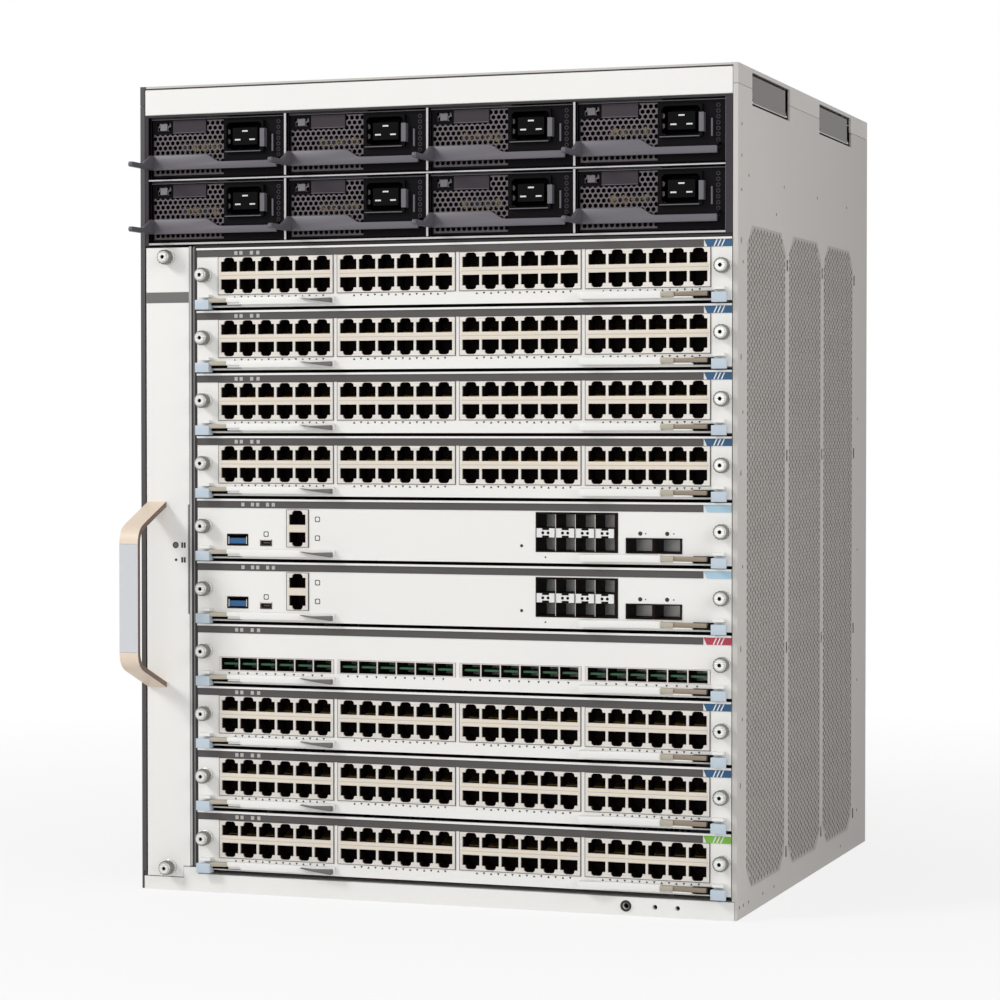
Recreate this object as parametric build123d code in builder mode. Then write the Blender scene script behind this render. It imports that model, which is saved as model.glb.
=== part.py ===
"""Modular chassis switch, thirteen rack units tall.

A sheet-metal chassis carries eight power supplies in two rows at the top, a tall
fan tray at the left and ten cards in horizontal slots. Every module slides out at
the front. Supplies and cards have swinging levers, and four handles fold out of
the sides. Millimetres, +Z up, the front faces -Y, and the origin is at the middle
of the whole object's base.
"""

import os

from build123d import *

os.makedirs("parts", exist_ok=True)

# Chassis shell. The other main sizes follow these three
chassis_width = 440.0
chassis_depth = 409.0
chassis_height = 574.0
sheet = 1.5
seat_gap = 0.3
front_flange = 3.4
fit_gap = 0.08

# The fan tray's handle stands furthest forward, so it sets the middle of the depth
handle_reach = 46.0
front_y = (handle_reach - chassis_depth) / 2
rear_y = front_y + chassis_depth

# Heights of the main levels
sill_height = 12.3
sill_height_under_fan = 9.0
post_foot_height = 17.0
post_foot_fold = 3.0
power_bay_drop = 113.7
cage_top = chassis_height - power_bay_drop
power_bay_floor = cage_top + seat_gap
cover_skirt = 13.7
cover_skirt_bottom = chassis_height - cover_skirt

# Power supplies and their bays
supply_columns = 4
supply_rows = 2
supply_height = 43.0
supply_recess = 4.5
supply_head_gap = 0.5
bay_divider = 1.4
bay_shelf = 1.8
bay_roof = 1.2
bay_inset = 3.7
bay_post = 2.6
bay_right_post = 5.0
bay_room = chassis_width - 2 * bay_inset - bay_post - bay_right_post + bay_divider
bay_pitch = bay_room / supply_columns
supply_width = bay_pitch - 2 * seat_gap - bay_divider

# Inlet, switch and latch on a supply, from its lower right or lower left corner
inlet_from_right = 42.9
inlet_z = 17.4
inlet_width = 28.4
inlet_height = 22.3
inlet_rim = 1.4
inlet_depth = 18.0
switch_x = 4.4
switch_z = 32.4
switch_width = 14.0
switch_height = 8.2
switch_recess = 2.0
actuator_width = 7.0
actuator_height = 5.4
latch_from_right = 13.2
latch_z = 18.7
latch_width = 3.6
latch_height = 11.0
latch_reach = 3.0

# Lever on a supply, from its lower corners
supply_pivot_from_right = 7.6
supply_pivot_clearance = 3.5
supply_ear_width = 7.0
supply_bar_overhang = 2.0
supply_knuckle_radius = 2.2
supply_lever_left = 1.0
supply_lever_bottom = 6.0
supply_bar_height = 5.0
supply_plate_height = 10.4
supply_plate_share = 0.44
supply_step_run = 9.0
supply_step_ease = 2.0
supply_lever_thickness = 3.0
supply_ear_height = 2.0
tongue_thickness = 3.0
tongue_reach = 38.0
tongue_web = 18.0
tongue_height = 3.6
tongue_ease = 1.2

# Backplane
backplane_setback = 53.0
backplane_front = chassis_depth - backplane_setback
backplane_thickness = 3.0
backplane_bottom = 14.0
backplane_top_drop = 23.0
power_connector_width = 60.0
power_connector_height = 18.0
supply_setback = 26.0
supply_depth = backplane_front - supply_setback

# Cards and slots
slot_count = 10
first_card_drop = 3.5
first_card_top = cage_top - first_card_drop
card_pitch = (first_card_top - sill_height) / slot_count
card_left = 44.3
card_right = chassis_width - 4.0
card_face_gap = 3.55
card_face_height = card_pitch - card_face_gap
card_top_rise = 1.3
faceplate = 2.0
lip_height = 1.4
lip_reach = 1.2
card_floor_rise = 1.0
card_floor = 1.6
card_wall_gap = 0.6
card_setback = 25.0
card_depth = backplane_front - card_setback
card_connector_share = 0.306
card_connector_width = (card_right - card_left) * card_connector_share
card_connector_height = 16.0
card_connector_rise = 3.0
connector_reach = 12.7
heat_sink_size = 62.0
heat_sink_height = 20.0
heat_sink_y = card_depth * 0.574
heat_sink_offset = (card_right - card_left) * 0.2425

# Port groups, from the chassis' left edge; their heights are shares of the card pitch
group_left = 60.7
group_count = 4
group_right_margin = 11.83
group_pitch = (card_right - group_left - group_right_margin) / group_count
group_gap = 2.57
group_width = group_pitch - group_gap
group_top = 0.117 * card_pitch
group_bottom = 0.72 * card_pitch
group_reach = 0.8
housing_depth = 28.0
socket_columns = 6
socket_pitch = group_width * 0.1615
socket_width = socket_pitch * 0.88
socket_height = 0.2295 * card_pitch
socket_depth = 15.0
socket_row_pitch = 0.3465 * card_pitch

# Fibre sockets
fibre_socket_width = socket_pitch * 0.937
fibre_socket_height = 0.2025 * card_pitch
fibre_socket_depth = 22.0
fibre_row_drop = 0.605 * card_pitch

# Supervisor sockets: left edge from the chassis' left or from the card's right edge,
# lowest edge down from the card's top, width, height
service_drop = 0.713 * card_pitch
usb_socket = (67.3, service_drop, 16.0, 8.4)
console_socket = (92.7, service_drop, 9.0, 4.6)
management_sockets = (112.9, service_drop, 16.2, socket_height)
uplink_from_right = 138.3
uplink_columns = 4
uplink_pitch = 14.9
uplink_rows_drop = (0.727 * card_pitch, 0.3465 * card_pitch)
quad_from_right = 73.7
quad_columns = 2
quad_pitch = 20.5
quad_width = 18.6
quad_height = 9.6
quad_drop = 0.733 * card_pitch
small_socket_depth = 14.0

# Captive screws
screw_radius = 5.4
screw_reach = 11.5
screw_knurls = 10
card_screw_left = 50.8
card_screw_right = card_right - 5.6
card_screw_drop = 0.405 * card_pitch

# Card levers, pivots from the chassis' left edge
lever_pivot_left = 52.0
lever_pivot_right = card_right - (lever_pivot_left - card_left)
lever_length = 0.25 * (card_right - card_left)
lever_height = 5.0
lever_rise = 1.7
lever_knuckle_radius = 4.0
lever_bar = 4.6
lever_ear_height = 2.0
grip_length = 26.0
grip_reach = 5.2
grip_ease = 2.0
grip_flat = 6.0

# Fan tray
fan_face_left = 4.5
fan_face_right = 37.8
fan_face_bottom = 9.6
fan_face_top = cage_top - 1.3
fan_notch_left = 32.5
fan_body_left = 5.5
fan_body_right = 37.0
fan_body_bottom = 10.3
fan_body_top = cage_top - 4.3
fan_setback = 21.0
fan_body_depth = chassis_depth - fan_setback
fan_rows = 4
fan_columns = 4
fan_frame_rim = 13.7
fan_frame_end = 12.0
fan_pitch_z = (fan_body_top - fan_body_bottom - fan_frame_rim) / fan_rows
fan_pitch_y = (fan_body_depth - fan_frame_end) / fan_columns
fan_radius = min(fan_pitch_y * 0.468, fan_pitch_z * 0.468)
fan_hub_radius = fan_radius * 0.386
fan_sides = 8
fan_strut = 8.0
fan_strut_thickness = 3.0
fan_face_thickness = 2.0
fan_notch_top = 17.6
fan_body_start = 4.3
fan_screw_x = 22.0
fan_screw_heights = (fan_face_bottom + 6.8, fan_face_top - 7.0)
fan_rail_width = 3.0

# Fan tray handle, a bent strap
strap_left = 5.2
strap_width = 14.5
strap_thickness = 3.5
strap_foot_bottom = 0.319 * fan_face_top
strap_length = 130.0
strap_slope = 18.0
strap_bend = 9.0

# Card cage
cage_wall_left = 41.0
cage_wall_right = card_right + card_wall_gap
post_left = 38.2
post_right = 44.0
post_depth = 12.0
guide_reach = 6.0
guide_thickness = 1.5
guide_start = 6.0
guide_setback = 36.0
guide_depth = backplane_front - guide_setback
cage_window = (0.76 * backplane_front, 0.36 * card_pitch)
cage_depth = backplane_front - seat_gap

# Side panels: perforated fields and square bracket slots, as shares of the panel
field_starts = [share * chassis_depth for share in (0.0611, 0.3545, 0.626)]
field_ends = [share * chassis_depth for share in (0.3276, 0.6015, 0.8704)]
field_bottom = 17.0
field_top = cage_top + 7.7
field_slots = 10
field_slot_share = 0.754
slot_columns = [share * chassis_depth for share in (0.3423, 0.6137, 0.8851)]
slot_heights = [share * chassis_height for share in (0.0488, 0.3031, 0.5418, 0.777)]
bracket_slot = (4.0, 8.0)
bracket_hole_y = 9.0
bracket_hole_pitch = 78.0
bracket_hole_count = 3
bracket_holes_middle = 0.6585 * chassis_height
bracket_holes_left_drop = 3.0
bracket_hole_radius = 2.2

# Folding carry handles on the sides
notch_starts = [share * chassis_depth for share in (0.0929, 0.5868)]
notch_length = 108.0
notch_bottom = chassis_height - 25.0
notch_top = chassis_height - 2.7
carry_inset = 2.0
carry_length = 94.0
carry_plate = 2.0
carry_face_inset = 0.4
carry_bottom = chassis_height - 23.0
carry_pivot_inset = 3.4
carry_pivot_z = chassis_height - 6.4
carry_hem = 1.6
carry_pin_radius = 1.5
carry_lip = 2.4
carry_block = 4.0
carry_block_gap = 0.5
carry_block_width = 5.8
carry_block_top = chassis_height - 3.0

# Front sill: test jack and ground lug holes, from the right edge
sill_fold = 20.0
jack_from_right = 77.3
jack_z = 6.3
jack_radius = 2.0
jack_boss_radius = 4.0
jack_boss_reach = 0.6
lug_from_right = 57.0
lug_spacing = 15.88
lug_hole_radius = 1.65
lug_strip_height = 8.0
lug_strip = 3.0

# Bezel
bezel_depth = 14.0
bezel_wall = 2.5
bezel_edge = 0.8

# Rear panel vents
vent_share = 0.8
vent_height = 7.0
vent_rows = 2
vent_pitch = 14.0


def from_left(distance):
    """X of a point at a distance from the chassis' left edge."""
    return distance - chassis_width / 2


def behind(distance):
    """Y of a point at a distance behind the front plane."""
    return front_y + distance


def front_plane(y):
    """Plane that faces the front: local x is X, local y is Z."""
    return Plane(origin=(0, y, 0), x_dir=(1, 0, 0), z_dir=(0, -1, 0))


def side_plane(x):
    """Plane that faces +X: local x is Y, local y is Z."""
    return Plane(origin=(x, 0, 0), x_dir=(0, 1, 0), z_dir=(1, 0, 0))


def span(x0, y0, x1, y1, mode=Mode.ADD):
    """Rectangle from corner to corner in the active sketch."""
    with Locations(((x0 + x1) / 2, (y0 + y1) / 2)):
        Rectangle(x1 - x0, y1 - y0, mode=mode)


def finish(piece, name):
    """Label a finished piece and write its file."""
    piece.label = name
    export_step(piece, f"parts/{name}.step")


def placed(piece, x, y, z):
    """The same piece moved by x, y and z."""
    with BuildPart() as moved:
        with Locations((x, y, z)):
            add(piece)
    return moved.part


panel_top = cover_skirt_bottom - seat_gap
wall_x = chassis_width / 2 - sheet
notch_ends = [start + notch_length for start in notch_starts]
slot_tops = [first_card_top - card_pitch * slot for slot in range(slot_count)]

# Side panel: a sheet with a front flange, perforated fields and handle notches
with BuildPart() as side_panel:
    with BuildSketch(side_plane(wall_x)):
        span(front_y, 0, rear_y, panel_top)
        for start, end in zip(notch_starts, notch_ends):
            span(behind(start), notch_bottom, behind(end), panel_top, mode=Mode.SUBTRACT)
        slot_pitch = (field_top - field_bottom) / field_slots
        for start, end in zip(field_starts, field_ends):
            with Locations((behind((start + end) / 2), (field_top + field_bottom) / 2)):
                with GridLocations(1, slot_pitch, 1, field_slots):
                    Rectangle(end - start, field_slot_share * slot_pitch, mode=Mode.SUBTRACT)
        with Locations([(behind(y), z) for y in slot_columns for z in slot_heights]):
            Rectangle(*bracket_slot, mode=Mode.SUBTRACT)
    extrude(amount=sheet)
    with BuildSketch(front_plane(front_y)):
        span(chassis_width / 2 - front_flange, sill_height + seat_gap, chassis_width / 2, panel_top)
    extrude(amount=-sheet)

with BuildPart() as left_panel:
    add(side_panel.part)
    mirror(about=Plane.YZ, mode=Mode.REPLACE)

# Rack bracket holes, a little lower in the left panel, whose bracket is handed
for name, panel, side, drop in (
    ("right_side_panel", side_panel, 1, 0),
    ("left_side_panel", left_panel, -1, bracket_holes_left_drop),
):
    with BuildPart() as drilled:
        add(panel.part)
        with BuildSketch(side_plane(side * (chassis_width - sheet) / 2)):
            with Locations((behind(bracket_hole_y), bracket_holes_middle - drop)):
                with GridLocations(1, bracket_hole_pitch, 1, bracket_hole_count):
                    Circle(bracket_hole_radius)
        extrude(amount=sheet, both=True, mode=Mode.SUBTRACT)
    finish(drilled.part, name)

# Top cover: a tray-shaped lid whose skirts are notched for the carry handles
with BuildPart() as top_cover:
    with BuildSketch(front_plane(front_y)):
        span(-chassis_width / 2, cover_skirt_bottom, chassis_width / 2, chassis_height)
        span(-wall_x, cover_skirt_bottom, wall_x, chassis_height - sheet, mode=Mode.SUBTRACT)
    extrude(amount=-chassis_depth)
    with BuildSketch(front_plane(front_y)):
        skirt_middle = (cover_skirt_bottom + chassis_height) / 2
        for side in (-1, 1):
            with Locations((side * (chassis_width - front_flange) / 2, skirt_middle)):
                Rectangle(front_flange, cover_skirt)
    extrude(amount=-sheet)
    with BuildSketch(side_plane(-chassis_width / 2)):
        for start, end in zip(notch_starts, notch_ends):
            span(behind(start), cover_skirt_bottom, behind(end), notch_top)
    extrude(amount=chassis_width, mode=Mode.SUBTRACT)
finish(top_cover.part, "top_cover")

# Base pan: floor, stepped front sill, fan tray rails, test jack and ground lug strip
pan_half = wall_x - seat_gap
jack_x = chassis_width / 2 - jack_from_right
lug_first_x = chassis_width / 2 - lug_from_right
foot_left = from_left(fan_notch_left + seat_gap)
with BuildPart() as base_pan:
    with BuildSketch():
        span(-pan_half, front_y, pan_half, rear_y - sheet - seat_gap)
    extrude(amount=sheet)
    with BuildSketch(front_plane(front_y)):
        span(-pan_half, 0, pan_half, sill_height_under_fan)
        span(foot_left, 0, from_left(post_right), post_foot_height)
        span(from_left(post_right), 0, pan_half, sill_height)
    extrude(amount=-sheet)
    with BuildSketch(front_plane(front_y)):
        span(-pan_half, sill_height_under_fan - sheet, from_left(fan_notch_left), sill_height_under_fan)
        span(from_left(post_right), sill_height - sheet, pan_half, sill_height)
    extrude(amount=-sill_fold)
    with BuildSketch(front_plane(front_y)):
        span(foot_left, post_foot_height - sheet, from_left(post_right), post_foot_height)
    extrude(amount=-post_foot_fold)
    with BuildSketch(front_plane(behind(sill_fold + fan_rail_width))):
        for rail in (fan_body_left + fan_rail_width, fan_body_right - 2 * fan_rail_width):
            span(from_left(rail), sheet, from_left(rail + fan_rail_width), fan_body_bottom - seat_gap)
    extrude(amount=-fan_body_depth + sill_fold)
    with BuildSketch(front_plane(front_y)):
        with Locations((jack_x, jack_z)):
            Circle(jack_boss_radius)
    extrude(amount=jack_boss_reach)
    with BuildSketch(front_plane(behind(sheet))):
        with Locations((lug_first_x + lug_spacing / 2, jack_z)):
            Rectangle(2 * lug_spacing, lug_strip_height)
    extrude(amount=-lug_strip)
    with BuildSketch(front_plane(behind(-jack_boss_reach))):
        with Locations((jack_x, jack_z)):
            Circle(jack_radius)
        with Locations((lug_first_x, jack_z), (lug_first_x + lug_spacing, jack_z)):
            Circle(lug_hole_radius)
    extrude(amount=-(jack_boss_reach + sheet + lug_strip), mode=Mode.SUBTRACT)
finish(base_pan.part, "base_pan")

# Power bay frame: a grid of shelves and dividers, with hinge blocks for the handles
bay_first = bay_inset + bay_post
row_pitch = supply_height + seat_gap + supply_head_gap + bay_shelf
bay_right = bay_first + supply_columns * bay_pitch - bay_divider + bay_right_post
bay_top = power_bay_floor + supply_rows * row_pitch + bay_roof
supply_lefts = [from_left(bay_first + seat_gap + column * bay_pitch) for column in range(supply_columns)]
supply_floors = [power_bay_floor + bay_shelf + seat_gap + row * row_pitch for row in range(supply_rows)]
carry_pivot_x = chassis_width / 2 - carry_pivot_inset
block_left = carry_pivot_x - carry_block_width + carry_pin_radius
carry_starts = [behind(start + carry_inset) for start in notch_starts]
with BuildPart() as power_bay_frame:
    with BuildSketch(front_plane(front_y)):
        span(from_left(bay_inset), power_bay_floor, from_left(bay_right), bay_top)
        for left in supply_lefts:
            for floor in supply_floors:
                bay_left = left - seat_gap
                bay_bottom = floor - seat_gap
                bay_width = supply_width + 2 * seat_gap
                bay_height = row_pitch - bay_shelf
                span(bay_left, bay_bottom, bay_left + bay_width, bay_bottom + bay_height, mode=Mode.SUBTRACT)
    extrude(amount=-cage_depth)
    for start in carry_starts:
        for block_y in (start - carry_block_gap - carry_block, start + carry_length + carry_block_gap):
            with BuildSketch(front_plane(block_y)):
                for side in (-1, 1):
                    span(side * block_left, bay_top, side * (block_left + carry_block_width), carry_block_top)
                    with Locations((side * carry_pivot_x, carry_pivot_z)):
                        Circle(carry_pin_radius + fit_gap, mode=Mode.SUBTRACT)
            extrude(amount=-carry_block)
finish(power_bay_frame.part, "power_bay_frame")

# Rear panel with exhaust slots behind the power supplies
with BuildPart() as rear_panel:
    with BuildSketch(front_plane(rear_y)):
        span(-pan_half, sheet + seat_gap, pan_half, chassis_height - sheet - seat_gap)
        for left in supply_lefts:
            for floor in supply_floors:
                with Locations((left + supply_width / 2, floor + supply_height / 2)):
                    with GridLocations(1, vent_pitch, 1, vent_rows):
                        Rectangle(vent_share * supply_width, vent_height, mode=Mode.SUBTRACT)
    extrude(amount=sheet)
finish(rear_panel.part, "rear_panel")

# Top bezel: a shallow cap across the front, open at the back
bezel_half = chassis_width / 2 - front_flange - seat_gap
bezel_bottom = bay_top + seat_gap
bezel_top = chassis_height - sheet - seat_gap
with BuildPart() as top_bezel:
    with BuildSketch(front_plane(front_y)):
        span(-bezel_half, bezel_bottom, bezel_half, bezel_top)
    extrude(amount=-bezel_depth)
    fillet(top_bezel.faces().sort_by(Axis.Y)[0].edges(), radius=bezel_edge)
    with BuildSketch(front_plane(behind(bezel_depth))):
        span(
            bezel_wall - bezel_half,
            bezel_bottom + bezel_wall,
            bezel_half - bezel_wall,
            bezel_top - bezel_wall,
        )
    extrude(amount=bezel_depth - bezel_wall, mode=Mode.SUBTRACT)
finish(top_bezel.part, "top_bezel")

# Carry handle: a plate with a hem, a finger lip and a hinge pin out of each end
plate_outer = chassis_width / 2 - carry_face_inset
hem_left = carry_pivot_x - carry_hem
carry_pin = carry_block_gap + carry_block
with BuildPart() as carry_handle:
    with BuildSketch(front_plane(carry_starts[0])):
        span(hem_left, carry_pivot_z - carry_hem, plate_outer, carry_pivot_z + carry_hem)
        span(plate_outer - carry_plate, carry_bottom, plate_outer, carry_pivot_z)
        span(plate_outer - carry_plate, carry_bottom, chassis_width / 2, carry_bottom + carry_lip)
    extrude(amount=-carry_length)
    for pin_start in (carry_starts[0] - carry_pin, carry_starts[0] + carry_length):
        with BuildSketch(front_plane(pin_start)):
            with Locations((carry_pivot_x, carry_pivot_z)):
                Circle(carry_pin_radius)
        extrude(amount=-carry_pin)

with BuildPart() as left_carry_handle:
    add(carry_handle.part)
    mirror(about=Plane.YZ, mode=Mode.REPLACE)

for place, start in zip(("front", "rear"), carry_starts):
    step_back = start - carry_starts[0]
    finish(placed(carry_handle.part, 0, step_back, 0), f"carry_handle_right_{place}")
    finish(placed(left_carry_handle.part, 0, step_back, 0), f"carry_handle_left_{place}")

# Card cage: two walls with air windows and card guides, a roof and the front post
card_floors = [top - card_face_height + card_floor_rise for top in slot_tops]
cage_end = behind(cage_depth)
post_bottom = post_foot_height + seat_gap
with BuildPart() as card_cage:
    for wall_left in (cage_wall_left, cage_wall_right):
        with BuildSketch(side_plane(from_left(wall_left))):
            span(behind(sheet + seat_gap), post_bottom, cage_end, cage_top)
            span(behind(sill_fold + seat_gap), sheet + seat_gap, cage_end, post_bottom)
            for floor in card_floors:
                with Locations((behind(cage_depth / 2), floor + card_face_height / 2)):
                    Rectangle(*cage_window, mode=Mode.SUBTRACT)
        extrude(amount=sheet)
    with BuildSketch(front_plane(behind(sheet + seat_gap))):
        span(from_left(cage_wall_left), cage_top - sheet, from_left(cage_wall_right), cage_top)
    extrude(amount=-(cage_depth - sheet - seat_gap))
    with BuildSketch(Plane.XY.offset(post_bottom)):
        span(from_left(post_left), front_y, from_left(post_right), behind(post_depth))
        span(
            from_left(post_left + sheet),
            behind(sheet),
            from_left(post_right - sheet),
            behind(post_depth),
            mode=Mode.SUBTRACT,
        )
    extrude(amount=cage_top - sheet - post_bottom)
    with BuildSketch(front_plane(behind(guide_start))):
        for floor in card_floors:
            guide_bottom = floor - seat_gap - guide_thickness
            guide_top = floor - seat_gap
            for start, end in (
                (cage_wall_left + sheet, card_left + guide_reach),
                (card_right - guide_reach, cage_wall_right),
            ):
                span(from_left(start), guide_bottom, from_left(end), guide_top)
    extrude(amount=-guide_depth)
finish(card_cage.part, "card_cage")

# Backplane: one board with a header for every card and every supply
card_middle = from_left((card_left + card_right) / 2)
header_front = backplane_front - connector_reach + seat_gap
header_rise = card_floor + card_connector_rise + card_connector_height / 2
backplane_top = chassis_height - backplane_top_drop
with BuildPart() as backplane:
    with BuildSketch(front_plane(behind(backplane_front))):
        span(from_left(cage_wall_left), backplane_bottom, from_left(cage_wall_right + sheet), backplane_top)
    extrude(amount=-backplane_thickness)
    with BuildSketch(front_plane(behind(backplane_front))):
        for floor in card_floors:
            with Locations((card_middle, floor + header_rise)):
                Rectangle(card_connector_width, card_connector_height)
        for left in supply_lefts:
            for floor in supply_floors:
                with Locations((left + supply_width / 2, floor + supply_height / 2)):
                    Rectangle(power_connector_width, power_connector_height)
    extrude(amount=backplane_front - header_front)
finish(backplane.part, "backplane")

# Power supply, built in the lower left bay: case, inlet, switch, latch and lever ear
connector_end = header_front - seat_gap
supply_face = behind(supply_recess)
supply_pivot_y = supply_face - supply_pivot_clearance
first_left = supply_lefts[0]
first_floor = supply_floors[0]
pivot_x = first_left + supply_width - supply_pivot_from_right
bar_bottom = first_floor + supply_lever_bottom
bar_top = bar_bottom + supply_bar_height
ear_bottom = bar_top + seat_gap
inlet_left = first_left + supply_width - inlet_from_right
latch_left = first_left + supply_width - latch_from_right
inlet_middle = (inlet_left + inlet_width / 2, first_floor + inlet_z + inlet_height / 2)
switch_middle = (first_left + switch_x + switch_width / 2, first_floor + switch_z + switch_height / 2)
with BuildPart() as power_supply:
    with BuildSketch(front_plane(supply_face)):
        span(first_left, first_floor, first_left + supply_width, first_floor + supply_height)
    extrude(amount=-supply_depth)
    with BuildSketch(front_plane(supply_face)):
        with Locations(inlet_middle):
            Rectangle(inlet_width, inlet_height)
        span(
            latch_left,
            first_floor + latch_z,
            latch_left + latch_width,
            first_floor + latch_z + latch_height,
        )
    extrude(amount=latch_reach)
    with BuildSketch(front_plane(supply_face - latch_reach)):
        with Locations(inlet_middle):
            Rectangle(inlet_width - 2 * inlet_rim, inlet_height - 2 * inlet_rim)
    extrude(amount=-inlet_depth, mode=Mode.SUBTRACT)
    with BuildSketch(front_plane(supply_face)):
        with Locations(switch_middle):
            Rectangle(switch_width, switch_height)
            Rectangle(actuator_width, actuator_height, mode=Mode.SUBTRACT)
    extrude(amount=-switch_recess, mode=Mode.SUBTRACT)
    with BuildSketch(Plane.XY.offset(ear_bottom)):
        span(
            pivot_x - supply_ear_width / 2,
            supply_pivot_y - supply_lever_thickness / 2,
            pivot_x + supply_ear_width / 2,
            supply_face,
        )
    extrude(amount=supply_ear_height)
    with BuildSketch(front_plane(supply_face + supply_depth)):
        with Locations((first_left + supply_width / 2, first_floor + supply_height / 2)):
            Rectangle(power_connector_width, power_connector_height)
    extrude(amount=-(connector_end - supply_recess - supply_depth))

# Supply lever: a flat plate that steps down to a thin bar, with a pull tongue
lever_left = first_left + supply_lever_left
plate_right = first_left + supply_plate_share * supply_width
plate_top = bar_bottom + supply_plate_height
step_end = plate_right + supply_step_run
bar_end = pivot_x + supply_bar_overhang
lever_back = supply_pivot_y + supply_lever_thickness / 2
tongue_tip = lever_back - tongue_reach
web_tip = lever_back - tongue_web
with BuildPart() as supply_lever:
    with BuildSketch(front_plane(lever_back)):
        with BuildLine():
            Polyline(
                (bar_end, bar_bottom),
                (lever_left, bar_bottom),
                (lever_left, plate_top),
                (plate_right, plate_top),
                (plate_right + supply_step_ease, plate_top - supply_step_ease / 2),
                (step_end - supply_step_ease, bar_top + supply_step_ease / 2),
                (step_end, bar_top),
                (bar_end, bar_top),
                close=True,
            )
        make_face()
    extrude(amount=supply_lever_thickness)
    with BuildSketch(Plane.XY.offset(bar_bottom)):
        with Locations((pivot_x, supply_pivot_y)):
            Circle(supply_knuckle_radius)
    extrude(amount=supply_bar_height)
    with BuildSketch(side_plane(lever_left)):
        with BuildLine():
            Polyline(
                (tongue_tip + tongue_ease, bar_bottom + tongue_height),
                (web_tip, bar_bottom + tongue_height),
                (lever_back, plate_top),
                (lever_back, bar_bottom),
                (tongue_tip + tongue_ease, bar_bottom),
                (tongue_tip, bar_bottom + tongue_ease),
                (tongue_tip, bar_bottom + tongue_height - tongue_ease),
                close=True,
            )
        make_face()
    extrude(amount=tongue_thickness)

for row, floor in zip(("lower", "upper"), supply_floors):
    for column, left in enumerate(supply_lefts, start=1):
        shift = (left - first_left, 0, floor - first_floor)
        finish(placed(power_supply.part, *shift), f"power_supply_{row}_{column}")
        finish(placed(supply_lever.part, *shift), f"supply_lever_{row}_{column}")

# Card body shared by every card, in the top slot: faceplate, tray, screws and ears
top = slot_tops[0]
face_bottom = top - card_face_height
face_top = top + card_top_rise
floor = card_floors[0]
lever_bottom = face_bottom + lever_rise
lever_top = lever_bottom + lever_height
lever_pivot_y = front_y - seat_gap - lever_knuckle_radius
lever_pivots = [(from_left(x), lever_pivot_y) for x in (lever_pivot_left, lever_pivot_right)]
connector_bottom = floor + card_floor + card_connector_rise
with BuildPart() as card_body:
    with BuildSketch(front_plane(front_y)):
        span(from_left(card_left), face_bottom, from_left(card_right), face_top)
    extrude(amount=-faceplate)
    with BuildSketch(front_plane(front_y)):
        span(from_left(card_left), face_top - lip_height, from_left(card_right), face_top)
    extrude(amount=lip_reach)
    with BuildSketch(front_plane(behind(faceplate))):
        tray_half = (card_right - card_left) / 2 - card_wall_gap
        span(card_middle - tray_half, floor, card_middle + tray_half, floor + card_floor)
    extrude(amount=-(card_depth - faceplate))
    with BuildSketch(Plane.XY.offset(floor + card_floor)):
        with Locations((card_middle, behind(heat_sink_y))):
            with GridLocations(2 * heat_sink_offset, 1, 2, 1):
                Rectangle(heat_sink_size, heat_sink_size)
    extrude(amount=heat_sink_height)
    with BuildSketch(front_plane(behind(connector_end))):
        with Locations((card_middle, connector_bottom + card_connector_height / 2)):
            Rectangle(card_connector_width, card_connector_height)
        span(
            card_middle - card_connector_width / 2,
            floor,
            card_middle + card_connector_width / 2,
            connector_bottom,
        )
    extrude(amount=connector_end - card_depth + connector_reach)
    with BuildSketch(front_plane(front_y)):
        with Locations(
            (from_left(card_screw_left), top - card_screw_drop),
            (from_left(card_screw_right), top - card_screw_drop),
        ):
            RegularPolygon(screw_radius, screw_knurls)
    extrude(amount=screw_reach)
    with BuildSketch(Plane.XY.offset(lever_top + seat_gap)):
        for pivot in lever_pivots:
            ear_front = pivot[1] - lever_knuckle_radius / 2
            span(pivot[0] - lever_knuckle_radius, ear_front, pivot[0] + lever_knuckle_radius, front_y)
    extrude(amount=lever_ear_height)

# Port card: four groups of stacked network sockets
group_lefts = [from_left(group_left + group_pitch * group) for group in range(group_count)]
group_middle = top - (group_top + group_bottom) / 2
with BuildPart() as port_card:
    add(card_body.part)
    with BuildSketch(front_plane(behind(housing_depth))):
        span(group_lefts[0], top - group_bottom, group_lefts[-1] + group_width, top - group_top)
    extrude(amount=housing_depth - faceplate)
    with BuildSketch(front_plane(front_y)):
        for left in group_lefts:
            span(left, top - group_bottom, left + group_width, top - group_top)
    extrude(amount=group_reach)
    with BuildSketch(front_plane(behind(-group_reach))):
        for left in group_lefts:
            with Locations((left + group_width / 2, group_middle)):
                with GridLocations(socket_pitch, socket_row_pitch, socket_columns, 2):
                    Rectangle(socket_width, socket_height)
    extrude(amount=-socket_depth, mode=Mode.SUBTRACT)

# Fibre card: one row of sockets in four groups
with BuildPart() as fibre_card:
    add(card_body.part)
    with BuildSketch(front_plane(behind(housing_depth))):
        span(group_lefts[0], top - group_bottom, group_lefts[-1] + group_width, top - group_top)
    extrude(amount=housing_depth - faceplate)
    with BuildSketch(front_plane(front_y)):
        for left in group_lefts:
            with Locations((left + group_width / 2, top - fibre_row_drop)):
                with GridLocations(socket_pitch, 1, socket_columns, 1):
                    Rectangle(fibre_socket_width, fibre_socket_height)
    extrude(amount=-fibre_socket_depth, mode=Mode.SUBTRACT)

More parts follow.
